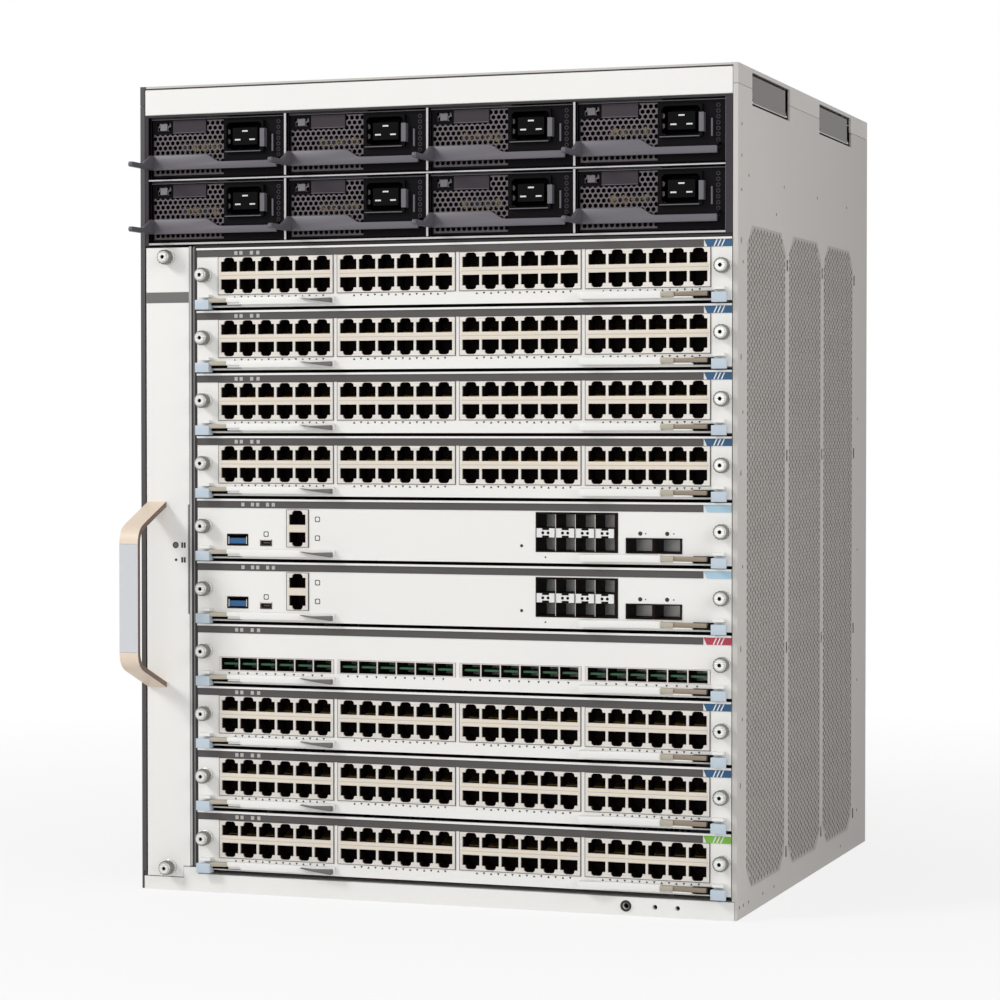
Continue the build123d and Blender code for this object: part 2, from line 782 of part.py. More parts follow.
# Supervisor card: service sockets at the left, uplink sockets at the right
quad_left = from_left(card_right - quad_from_right)
quad_right = quad_left + (quad_columns - 1) * quad_pitch + quad_width
uplink_left = from_left(card_right - uplink_from_right)
service_right = from_left(management_sockets[0] + management_sockets[2])
with BuildPart() as supervisor_card:
    add(card_body.part)
    with BuildSketch(front_plane(behind(housing_depth))):
        for left, right in ((from_left(usb_socket[0]), service_right), (uplink_left, quad_right)):
            span(left - faceplate, top - group_bottom, right + faceplate, top - group_top)
    extrude(amount=housing_depth - faceplate)
    with BuildSketch(front_plane(front_y)):
        for left, drop, width, height in (usb_socket, console_socket, management_sockets):
            span(from_left(left), top - drop, from_left(left + width), top - drop + height)
        left, drop, width, height = management_sockets
        upper_row = top - drop + socket_row_pitch
        span(from_left(left), upper_row, from_left(left + width), upper_row + height)
    extrude(amount=-small_socket_depth, mode=Mode.SUBTRACT)
    with BuildSketch(front_plane(front_y)):
        for column in range(uplink_columns):
            left = uplink_left + column * uplink_pitch
            for drop in uplink_rows_drop:
                span(left, top - drop, left + fibre_socket_width, top - drop + fibre_socket_height)
        for column in range(quad_columns):
            left = quad_left + column * quad_pitch
            span(left, top - quad_drop, left + quad_width, top - quad_drop + quad_height)
    extrude(amount=-fibre_socket_depth, mode=Mode.SUBTRACT)


def card_lever(pivot, side):
    """Ejector lever that reaches inwards from its pivot; side is +1 or -1 in X."""
    pivot_x, pivot_y = pivot

    def point(along, forward):
        """Point of the lever's plan, measured from its pivot."""
        return (pivot_x + side * along, pivot_y - forward)

    back = -lever_knuckle_radius
    front = back + lever_bar
    with BuildPart() as lever:
        with BuildSketch(Plane.XY.offset(lever_bottom)):
            with BuildLine():
                ThreePointArc(point(0, lever_knuckle_radius), point(back, 0), point(0, back))
                Polyline(
                    point(0, back),
                    point(lever_length, back),
                    point(lever_length, grip_reach - grip_ease / 2),
                    point(lever_length - grip_ease, grip_reach),
                    point(lever_length - grip_flat, grip_reach),
                    point(lever_length - grip_length, front),
                    point(2 * lever_knuckle_radius, front),
                    point(0, lever_knuckle_radius),
                )
            make_face()
        extrude(amount=lever_height)
    return lever.part


left_lever = card_lever(lever_pivots[0], 1)
right_lever = card_lever(lever_pivots[1], -1)

card_kinds = {
    5: ("supervisor_card", supervisor_card),
    6: ("supervisor_card", supervisor_card),
    7: ("fibre_card", fibre_card),
}
for slot, slot_top in enumerate(slot_tops, start=1):
    kind, model = card_kinds.get(slot, ("port_card", port_card))
    drop = slot_top - top
    finish(placed(model.part, 0, 0, drop), f"{kind}_slot_{slot}")
    finish(placed(left_lever, 0, 0, drop), f"card_lever_left_slot_{slot}")
    finish(placed(right_lever, 0, 0, drop), f"card_lever_right_slot_{slot}")

# Fan tray: faceplate, strap handle, captive screws and a deep frame of fans
body_left = from_left(fan_body_left)
body_right = from_left(fan_body_right)
body_start = behind(fan_face_thickness)
fan_middle = (behind(fan_body_depth / 2 + fan_face_thickness), (fan_body_bottom + fan_body_top) / 2)
strap_front = front_y - handle_reach + strap_thickness / 2
strap_root = front_y + fan_face_thickness / 2
strap_foot_top = strap_foot_bottom + strap_length
with BuildPart() as fan_tray:
    with BuildSketch(front_plane(front_y)):
        span(from_left(fan_face_left), fan_face_bottom, from_left(fan_face_right), fan_face_top)
        span(
            from_left(fan_notch_left),
            fan_face_bottom,
            from_left(fan_face_right),
            fan_notch_top,
            mode=Mode.SUBTRACT,
        )
    extrude(amount=-fan_face_thickness)
    with BuildSketch(side_plane(body_left)):
        span(body_start, fan_body_bottom, body_start + fan_body_depth, fan_body_top)
        with Locations(fan_middle):
            with GridLocations(fan_pitch_y, fan_pitch_z, fan_columns, fan_rows):
                RegularPolygon(fan_radius, fan_sides, mode=Mode.SUBTRACT)
    extrude(amount=body_right - body_left)
    with BuildSketch(front_plane(body_start)):
        span(from_left(fan_notch_left), fan_body_bottom, body_right, fan_notch_top)
    extrude(amount=-fan_body_depth, mode=Mode.SUBTRACT)
    with BuildSketch(front_plane(body_start)):
        span(body_left, fan_body_bottom, body_right, fan_notch_top)
    extrude(amount=-(fan_body_start - fan_face_thickness), mode=Mode.SUBTRACT)
    with BuildSketch(side_plane(body_right - fan_strut_thickness)):
        with Locations(fan_middle):
            with GridLocations(fan_pitch_y, 1, fan_columns, 1):
                Rectangle(fan_strut, fan_rows * fan_pitch_z)
    extrude(amount=fan_strut_thickness)
    with BuildSketch(side_plane(body_left + fan_strut_thickness)):
        with Locations(fan_middle):
            with GridLocations(fan_pitch_y, fan_pitch_z, fan_columns, fan_rows):
                RegularPolygon(fan_hub_radius, fan_sides)
    extrude(amount=body_right - body_left - 2 * fan_strut_thickness)
    with BuildSketch(side_plane(from_left(strap_left))):
        with BuildLine() as strap_line:
            FilletPolyline(
                (strap_root, strap_foot_bottom),
                (strap_front, strap_foot_bottom + strap_slope),
                (strap_front, strap_foot_top - strap_slope),
                (strap_root, strap_foot_top),
                radius=strap_bend,
            )
        trace(lines=strap_line.line, line_width=strap_thickness)
    extrude(amount=strap_width)
    with BuildSketch(front_plane(front_y)):
        with Locations(*[(from_left(fan_screw_x), height) for height in fan_screw_heights]):
            RegularPolygon(screw_radius, screw_knurls)
    extrude(amount=screw_reach)
finish(fan_tray.part, "fan_tray")
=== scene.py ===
"""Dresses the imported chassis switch: sheet metal, supplies, cards, fan tray, light and camera.

Pieces are drawn in millimetres, x to the right, y to the rear and z up. Chassis and fan tray
start at the lower left front corner, a supply at the corner of its front plate and a card at
the upper edge of its slot. Finished pieces are moved into the row frame.
"""

import math
from functools import partial

import bmesh
import bpy
from bpy.props import FloatProperty, FloatVectorProperty, IntProperty, PointerProperty
from mathutils import Matrix, Vector
from mathutils.geometry import tessellate_polygon


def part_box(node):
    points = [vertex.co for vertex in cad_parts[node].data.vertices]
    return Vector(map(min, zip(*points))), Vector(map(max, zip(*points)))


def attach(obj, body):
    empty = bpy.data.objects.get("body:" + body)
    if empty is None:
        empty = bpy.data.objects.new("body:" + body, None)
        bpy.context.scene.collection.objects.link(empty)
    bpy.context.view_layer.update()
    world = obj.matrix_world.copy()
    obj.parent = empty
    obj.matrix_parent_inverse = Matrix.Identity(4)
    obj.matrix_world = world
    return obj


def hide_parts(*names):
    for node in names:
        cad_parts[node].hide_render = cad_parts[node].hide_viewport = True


bl_info = {
    "name": "Modular Chassis Switch",
    "version": (1, 0, 0),
    "blender": (4, 5, 0),
    "location": "View3D > Sidebar > Chassis",
    "description": "Builds the visible detail of a modular chassis switch around its CAD frame",
    "category": "Object",
}

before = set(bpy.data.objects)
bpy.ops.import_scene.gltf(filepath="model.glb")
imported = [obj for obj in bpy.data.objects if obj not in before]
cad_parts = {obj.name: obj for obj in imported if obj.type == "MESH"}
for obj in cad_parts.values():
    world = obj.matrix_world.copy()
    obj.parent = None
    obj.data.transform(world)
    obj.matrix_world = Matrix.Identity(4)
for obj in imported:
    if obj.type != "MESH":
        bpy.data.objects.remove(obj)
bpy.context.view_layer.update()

MM = 0.001
panel_low, panel_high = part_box("right_side_panel")
CHASSIS_WIDTH = 2 * panel_high.x / MM
FRONT_Y = panel_low.y / MM
SIDES = ("left", "right")


def add_node(tree, kind, values=None, **settings):
    """Outputs of a new node; values holds constants or sockets, by input."""
    made = tree.nodes.new(kind)
    for key, value in settings.items():
        setattr(made, key, value)
    for key, value in (values or {}).items():
        if isinstance(value, bpy.types.NodeSocket):
            tree.links.new(value, made.inputs[key])
        else:
            made.inputs[key].default_value = value
    return made.outputs


# Colours and finishes


def linear(red, green, blue):
    """Colour as the shader wants it, from 0 to 255 values."""
    channels = [value / 255 for value in (red, green, blue)]
    return tuple(c / 12.92 if c <= 0.04045 else ((c + 0.055) / 1.055) ** 2.4 for c in channels) + (1.0,)


def shade(colour, factor):
    """A colour made lighter or darker."""
    return tuple(min(1.0, channel * factor) for channel in colour[:3]) + (1.0,)


def chosen_colour(name, written):
    """The user's colour for a finish, or else the written one."""
    colours = bpy.context.scene.chassis_look.colours
    return (*getattr(colours, name), 1.0) if hasattr(colours, name) else linear(*written)


class Finish:
    """A procedural material that is read from object coordinates."""

    def __init__(self, name, colour, roughness, metallic=0.0):
        self.material = bpy.data.materials.new(name)
        self.material.use_nodes = True
        self.tree = self.material.node_tree
        self.node = partial(add_node, self.tree)
        self.inputs = self.tree.nodes["Principled BSDF"].inputs
        self.colour = chosen_colour(name, colour)
        self.inputs["Base Color"].default_value = self.colour
        self.inputs["Roughness"].default_value = roughness
        self.inputs["Metallic"].default_value = metallic
        self.place = self.node("ShaderNodeTexCoord")["Object"]

    def noise(self, scale, detail, stretch=(1, 1, 1)):
        """Noise value over the piece."""
        place = self.node("ShaderNodeMapping", {"Vector": self.place, "Scale": stretch})["Vector"]
        return self.node("ShaderNodeTexNoise", {"Vector": place, "Scale": scale, "Detail": detail})["Fac"]

    def span(self, source, low, high, start=0.0, end=1.0):
        """Source mapped from low..high to start..end."""
        return self.node("ShaderNodeMapRange", {
            "Value": source, "From Min": low, "From Max": high, "To Min": start, "To Max": end,
        })["Result"]

    def step(self, letter, low, high):
        """1 where an object coordinate has passed from low to high, else 0."""
        return self.span(self.node("ShaderNodeSeparateXYZ", {0: self.place})[letter], low, high)

    def maths(self, operation, first, second):
        """Result of a sum on two sockets."""
        return self.node("ShaderNodeMath", {0: first, 1: second}, operation=operation)[0]

    def mix(self, factor, first, second):
        """Blend of two colours, each a value or a socket."""
        return self.node("ShaderNodeMix", {0: factor, 6: first, 7: second}, data_type="RGBA")[2]

    def base(self):
        """Socket that gives the base colour so far."""
        return self.inputs["Base Color"].links[0].from_socket

    def tint(self, factor, first, second):
        """Base colour that runs between two colours."""
        self.tree.links.new(self.mix(factor, first, second), self.inputs["Base Color"])

    def gloss(self, source, low, high, start, end):
        """Roughness that runs from start to end."""
        self.tree.links.new(self.span(source, low, high, start, end), self.inputs["Roughness"])

    def bump(self, source, strength, distance=0.0002):
        """Surface relief from a value."""
        values = {"Height": source, "Strength": strength, "Distance": distance}
        self.tree.links.new(self.node("ShaderNodeBump", values)["Normal"], self.inputs["Normal"])


def paint(name, colour, roughness, cloud=0.05, metallic=0.0):
    """Powder coat or moulded plastic: faint clouding, fine grain and uneven gloss."""
    made = Finish(name, colour, roughness, metallic)
    reflection = next(level for limit, level in REFLECTIONS if max(colour) < limit)
    made.inputs["Specular IOR Level"].default_value = reflection
    clouds = made.noise(9.0, 4.0)
    made.tint(made.span(clouds, 0.3, 0.7), shade(made.colour, 1 - cloud), shade(made.colour, 1 + cloud / 3))
    grains = made.noise(1400.0, 2.0)
    made.gloss(grains, 0.2, 0.8, roughness - 0.06, roughness + 0.08)
    made.bump(grains, 0.12)
    return made


def metal(name, colour, roughness, metallic=0.9, stretch=(1, 1, 40)):
    """Sheet metal with a drawn grain."""
    made = Finish(name, colour, roughness, metallic)
    streaks = made.noise(60.0, 4.0, stretch)
    made.tint(made.span(streaks, 0.3, 0.7), shade(made.colour, 0.86), shade(made.colour, 1.08))
    made.gloss(streaks, 0.25, 0.75, roughness - 0.08, roughness + 0.12)
    made.bump(streaks, 0.06)
    return made


def shade_left_front_edge(made, colour):
    """Darken the narrow front edge at the chassis' left side with painted shade, as that edge stands in shadow.
    """
    # Mask of the left front edge, which gets painted shade
    edge = made.maths("MULTIPLY", made.step("X", -0.2150, -0.2155), made.step("Y", -0.1795, -0.1800))
    made.tint(edge, colour, linear(66, 63, 63))


def side_paint():
    """Side sheet: warm grey with painted shade that darkens it to the rear, and painted shade on its left front
    edge.
    """
    made = paint("side_paint", SIDE_GREY, 0.5, 0.04)
    # Painted shade: darker to the rear, and dark on the left front edge
    shade_left_front_edge(made, made.mix(made.step("Y", -0.18, 0.23), made.base(), shade(made.colour, 0.74)))
    return made


def perforated_paint():
    """Perforated field: like the side sheet, a little darker, with painted shade that darkens it to the rear.
    """
    made = paint("perforated_paint", (170, 165, 160), 0.5)
    # Painted shade: darker to the rear
    made.tint(made.step("Y", -0.16, 0.18), made.base(), shade(made.colour, 0.8))
    return made


def cover_paint():
    """Cover and rear panel: warm grey, with painted shade on the left front edge."""
    made = paint("cover_paint", (196, 192, 187), 0.5)
    # Painted shade on the left front edge
    shade_left_front_edge(made, made.base())
    return made


def bay_steel():
    """Power bay frame: dark, with painted highlights on the front edges of its dividers and thin painted
    highlight lines on its shelves.
    """
    made = paint("bay_steel", (12, 11, 13), 0.45)
    # Dark front bands, and the painted highlight colour for the lit front edges
    dark, edge = linear(24, 22, 25), linear(198, 195, 196)
    low, high = 0.455, 0.575
    highlight_bands = made.node("ShaderNodeValToRGB", {"Fac": made.step("Z", low, high)})["Color"]
    ramp = highlight_bands.node.color_ramp
    ramp.interpolation = "CONSTANT"
    ramp.elements.remove(ramp.elements[1])
    ramp.elements[0].color = dark
    # Bright bands are painted highlight on the lit front edges
    for height, bright in BAY_HIGHLIGHT_BANDS:
        ramp.elements.new((height * MM - low) / (high - low)).color = edge if bright else dark
    posts = made.maths("MAXIMUM", made.step("X", -0.2132, -0.2135), made.step("X", 0.2112, 0.2115))
    fronts = made.mix(posts, highlight_bands, linear(66, 62, 68))
    made.tint(made.step("Y", -0.1808, -0.1812), made.base(), fronts)
    return made


def post_steel():
    """Card cage: zinc inside, dark grey front post."""
    made = metal("post_steel", (150, 149, 147), 0.4)
    made.tint(made.step("Y", -0.1755, -0.1765), made.base(), linear(58, 56, 56))
    return made


def coil_windings():
    """Coils and boards seen through the grille, with brass and green glints."""
    made = Finish("coil_windings", (30, 26, 18), 0.5)
    spots = made.noise(300.0, 2.0)
    made.tint(made.span(spots, 0.52, 0.66), linear(14, 13, 11), linear(176, 150, 62))
    made.bump(spots, 0.5, 0.001)
    return made


SIDE_GREY = (200, 196, 191)

# Share of gloss by the brightest channel that a painted colour stays under
REFLECTIONS = ((32, 0.05), (70, 0.2), (256, 0.5))

# Front edges of the power bay frame: height in mm where a band begins, and whether it is a bright painted
# highlight
BAY_HIGHLIGHT_BANDS = (
    (460.9, True), (462.1, False), (462.7, True), (505.7, False),
    (506.4, True), (507.4, False), (508.3, True), (551.3, False),
)

# Painted and moulded finishes: colour, roughness, clouding and metallic share
PAINTS = {
    "white_enamel": ((236, 235, 232), 0.42, 0.02),
    "dark_trim": ((52, 50, 50), 0.4),
    "mid_trim": ((118, 115, 115), 0.4),
    "light_trim": ((184, 182, 181), 0.4),
    "handle_grey": ((92, 87, 84), 0.45, 0.06, 0.2),
    # Painted highlight on the lit lower lip of a carry handle
    "handle_edge": ((222, 220, 216), 0.4, 0.04),
    "black_plastic": ((9, 9, 10), 0.45),
    "black_steel": ((17, 15, 18), 0.45, 0.08),
    "grille_steel": ((98, 89, 94), 0.45, 0.12),
    "blank_purple": ((58, 51, 57), 0.5, 0.12),
    "lever_grey": ((94, 91, 98), 0.42, 0.08),
    # Grey of the rocker; also painted highlight on a supply's top front edge and on its latch
    "light_grey": ((100, 97, 103), 0.4),
    "blade_bright": ((220, 220, 222), 0.3, 0.04),
    "label_grey": ((72, 68, 68), 0.45, 0.08),
    "band_grey": ((104, 101, 101), 0.45),
    "mark_light": ((178, 175, 174), 0.5, 0.06),
    "mark_white": ((228, 228, 228), 0.5, 0.04),
    "mark_dark": ((58, 55, 56), 0.55, 0.06),
    "outline_dark": ((74, 66, 64), 0.5, 0.06),
    "block_blue": ((28, 82, 122), 0.4),
    "block_sky": ((168, 200, 218), 0.4),
    "block_red": ((178, 50, 75), 0.4),
    "block_green": ((120, 180, 60), 0.4),
    "tab_sky": ((190, 203, 214), 0.42, 0.06),
    "socket_black": ((27, 18, 16), 0.5),
    "socket_cream": ((226, 215, 198), 0.5, 0.04),
    "lever_tan": ((176, 168, 152), 0.42, 0.14, 0.2),
    "lever_brown": ((142, 128, 112), 0.42, 0.2, 0.3),
    "grip_dark": ((104, 101, 101), 0.5),
    "board_green": ((30, 84, 52), 0.45, 0.18),
    "chip_black": ((26, 26, 28), 0.5),
    "usb_blue": ((32, 88, 138), 0.36, 0.06),
    "strap_cream": ((232, 214, 194), 0.42, 0.03),
    "strap_grip": ((206, 208, 212), 0.4, 0.03),
    # Painted shade on the right edge of the fan tray's strap
    "strap_edge": ((120, 96, 82), 0.45, 0.08),
}

# Bare metals: colour, roughness, metallic share and grain direction
METALS = {
    "socket_shield": ((218, 213, 206), 0.36, 0.45),
    "contact_gold": ((150, 122, 66), 0.34),
    "nickel": ((196, 195, 190), 0.34, 0.6),
    # Painted highlight for a screw's lit tip, and painted shade for its knurled grip
    "nickel_bright": ((226, 226, 222), 0.28, 0.6),
    "nickel_dark": ((132, 130, 127), 0.4, 0.6),
    "zinc": ((168, 167, 165), 0.38),
    "aluminium": ((196, 197, 198), 0.36, 0.9, (40, 1, 1)),
}

# Finishes with a pattern of their own
PATTERNED = {
    made.__name__: made
    for made in (side_paint, perforated_paint, cover_paint, bay_steel, post_steel, coil_windings)
}
FINISHES = {}


def finish_of(name):
    """Material by name, made the first time it is asked for."""
    if name not in FINISHES:
        if name in PAINTS:
            made = paint(name, *PAINTS[name])
        elif name in METALS:
            made = metal(name, *METALS[name])
        else:
            made = PATTERNED[name]()
        FINISHES[name] = made.material
    return FINISHES[name]


# Geometry trees


class Tree:
    """A Geometry Nodes tree with named inputs, the last one for its material."""

    def __init__(self, name, inputs):
        self.group = bpy.data.node_groups.new(name, "GeometryNodeTree")
        self.node = partial(add_node, self.group)
        new_socket = self.group.interface.new_socket
        for way in ("INPUT", "OUTPUT"):
            new_socket("Geometry", in_out=way, socket_type="NodeSocketGeometry")
        for label, value in {**inputs, "Material": "Material"}.items():
            kind = {float: "Float", int: "Int"}.get(type(value), value)
            made = new_socket(label, in_out="INPUT", socket_type="NodeSocket" + kind)
            if kind != value:
                made.default_value = value
        self.inputs = self.node("NodeGroupInput")

    def maths(self, operation, *values):
        """Value of a sum on sockets or constants."""
        return self.node("ShaderNodeMath", dict(enumerate(values)), operation=operation)[0]

    def without(self, geometry, selection, domain):
        """Geometry with the selected elements deleted."""
        values = {"Geometry": geometry, "Selection": selection}
        return self.node("GeometryNodeDeleteGeometry", values, domain=domain)[0]

    def other(self, selection):
        """All that isn't selected."""
        return self.node("FunctionNodeBooleanMath", {0: selection}, operation="NOT")[0]

    def copies(self, points, instance, **more):
        """Copies of an instance on points."""
        values = {"Points": points, "Instance": instance, **more}
        return self.node("GeometryNodeInstanceOnPoints", values)[0]

    def join(self, *parts):
        """Several geometries as one."""
        joined = self.node("GeometryNodeJoinGeometry")[0]
        for part in parts:
            self.group.links.new(part, joined.node.inputs[0])
        return joined

    def welded(self, geometry):
        """Geometry with its doubled points merged."""
        return self.node("GeometryNodeMergeByDistance", {"Geometry": geometry, "Distance": 0.00001})[0]

    def end(self, geometry):
        """Realize the copies, set the material and close the tree."""
        real = self.node("GeometryNodeRealizeInstances", {0: geometry})[0]
        values = {"Geometry": real, "Material": self.inputs["Material"]}
        self.node("NodeGroupOutput", {0: self.node("GeometryNodeSetMaterial", values)[0]})
        return self.group


def perforated_tree():
    """Sheet of hexagonal cells, each with a hole, except near the sheet's edge."""
    tree = Tree("perforated_sheet", {
        "Width": 0.1, "Height": 0.4, "Pitch": 0.005, "Opening": 0.7, "Thickness": 0.001,
        "Corner": 0.012, "Margin": 0.003,
    })
    add, less, times, over, least, above = (
        partial(tree.maths, name)
        for name in ("ADD", "SUBTRACT", "MULTIPLY", "DIVIDE", "MINIMUM", "GREATER_THAN")
    )
    size = tree.inputs
    radius = over(size["Pitch"], math.sqrt(3))
    row = times(radius, 1.5)
    columns = tree.maths("CEIL", add(over(size["Width"], size["Pitch"]), 1.0))
    rows = tree.maths("CEIL", add(over(size["Height"], row), 1.0))
    length_y = times(less(rows, 1.0), row)
    grid = tree.node("GeometryNodeMeshGrid", {
        "Size X": times(less(columns, 1.0), size["Pitch"]), "Size Y": length_y,
        "Vertices X": columns, "Vertices Y": rows,
    })[0]
    place = tree.node("ShaderNodeSeparateXYZ", {0: tree.node("GeometryNodeInputPosition")[0]})
    number = tree.maths("ROUND", over(add(place["Y"], times(length_y, 0.5)), row))
    parity = less(tree.maths("FLOORED_MODULO", number, 2.0), 0.5)
    offset = tree.node("ShaderNodeCombineXYZ", {"X": times(parity, times(size["Pitch"], 0.5))})[0]
    moved = tree.node("GeometryNodeSetPosition", {"Geometry": grid, "Offset": offset})[0]

    across = less(times(size["Width"], 0.5), tree.maths("ABSOLUTE", place["X"]))
    along = less(times(size["Height"], 0.5), tree.maths("ABSOLUTE", place["Y"]))
    cut_corner = times(less(add(across, along), size["Corner"]), 0.7071)
    inside = least(least(across, along), cut_corner)
    points = tree.without(moved, tree.other(above(inside, times(size["Pitch"], -0.6))), "POINT")
    holed = above(inside, size["Margin"])

    tile = tree.node("GeometryNodeMeshCircle", {"Vertices": 6, "Radius": radius}, fill_type="NGON")[0]
    turn = (0, 0, math.radians(30))
    tile = tree.node("GeometryNodeTransform", {"Geometry": tile, "Rotation": turn})[0]
    ring = tree.node("GeometryNodeExtrudeMesh", {"Mesh": tile, "Offset Scale": 0.0}, mode="FACES")
    values = {"Geometry": ring[0], "Selection": ring[1], "Scale": size["Opening"]}
    scaled = tree.node("GeometryNodeScaleElements", values, domain="FACE")[0]
    ring = tree.without(scaled, ring[1], "FACE")

    cells = tree.join(
        tree.copies(points, ring, Selection=holed),
        tree.copies(points, tile, Selection=tree.other(holed)),
    )
    flat = tree.welded(tree.node("GeometryNodeRealizeInstances", {0: cells})[0])
    values = {"Mesh": flat, "Offset Scale": size["Thickness"], "Individual": False}
    raised = tree.node("GeometryNodeExtrudeMesh", values, mode="FACES")[0]
    under = tree.node("GeometryNodeFlipFaces", {0: flat})[0]
    return tree.end(tree.welded(tree.join(raised, under)))


def copies_tree():
    """One small part on every point of the mesh."""
    tree = Tree("copies_on_points", {"Part": "Object", "Scale": 1.0})
    part = tree.node("GeometryNodeObjectInfo", {"Object": tree.inputs["Part"]})["Geometry"]
    return tree.end(tree.copies(tree.inputs["Geometry"], part, Scale=tree.inputs["Scale"]))


def fan_tree():
    """Ring of fan blades: flat bars turned about the hub, each pitched."""
    tree = Tree("fan_blades", {
        "Blades": 7, "Hub Radius": 0.017, "Tip Radius": 0.042, "Chord": 0.022, "Pitch Angle": 0.7,
    })
    size = tree.inputs
    span = tree.maths("SUBTRACT", size["Tip Radius"], size["Hub Radius"])
    middle = tree.maths("MULTIPLY", tree.maths("ADD", size["Tip Radius"], size["Hub Radius"]), 0.5)
    points = tree.node("GeometryNodeMeshCircle", {"Vertices": size["Blades"], "Radius": middle})[0]
    bar = tree.node("ShaderNodeCombineXYZ", {"X": span, "Y": size["Chord"], "Z": 0.0014})[0]
    blade = tree.node("GeometryNodeMeshCube", {"Size": bar, "Vertices X": 4, "Vertices Y": 3})[0]
    twist = tree.node("ShaderNodeCombineXYZ", {"X": size["Pitch Angle"]})[0]
    blade = tree.node("GeometryNodeTransform", {"Geometry": blade, "Rotation": twist})[0]
    outward = {"Vector": tree.node("GeometryNodeInputPosition")[0]}
    turn = tree.node("FunctionNodeAlignEulerToVector", outward, axis="X", pivot_axis="Z")[0]
    return tree.end(tree.copies(points, blade, Rotation=turn))


TREES = {}


def evaluated(holder):
    """Plain mesh of an object with its modifiers applied. The object is removed."""
    mesh = bpy.data.meshes.new_from_object(holder.evaluated_get(bpy.context.evaluated_depsgraph_get()))
    holder.modifiers.clear()
    bpy.data.objects.remove(holder)
    return mesh


def grown(maker, base=None, **values):
    """Plain mesh that a tree makes from a base mesh. Values are its inputs, by name."""
    if maker not in TREES:
        TREES[maker] = maker()
    holder = bpy.data.objects.new("grown", base or bpy.data.meshes.new("grown"))
    bpy.context.scene.collection.objects.link(holder)
    modifier = holder.modifiers.new("grown", "NODES")
    modifier.node_group = TREES[maker]
    for item in modifier.node_group.interface.items_tree:
        label = item.name.lower().replace(" ", "_")
        if item.in_out == "INPUT" and label in values:
            modifier[item.identifier] = values[label]
    return evaluated(holder)


# Piece builder

PLACES = {
    "x": lambda u, v, w: (w, u, v),
    "y": lambda u, v, w: (u, w, v),
    "z": lambda u, v, w: (u, v, w),
}


def rectangle(u0, v0, u1, v1, inset=0.0):
    """Corners of a rectangle, or of a smaller one inside it."""
    u0, v0, u1, v1 = u0 + inset, v0 + inset, u1 - inset, v1 - inset
    return [(u0, v0), (u1, v0), (u1, v1), (u0, v1)]


def round_loop(u, v, radius, sides=12):
    """Corners of a round outline."""
    angles = [2 * math.pi * i / sides for i in range(sides)]
    return [(u + radius * math.cos(angle), v + radius * math.sin(angle)) for angle in angles]


def chamfered(u0, v0, u1, v1, corner):
    """Rectangle with cut corners."""
    return [
        (u0 + corner, v0), (u1 - corner, v0), (u1, v0 + corner), (u1, v1 - corner),
        (u1 - corner, v1), (u0 + corner, v1), (u0, v1 - corner), (u0, v0 + corner),
    ]


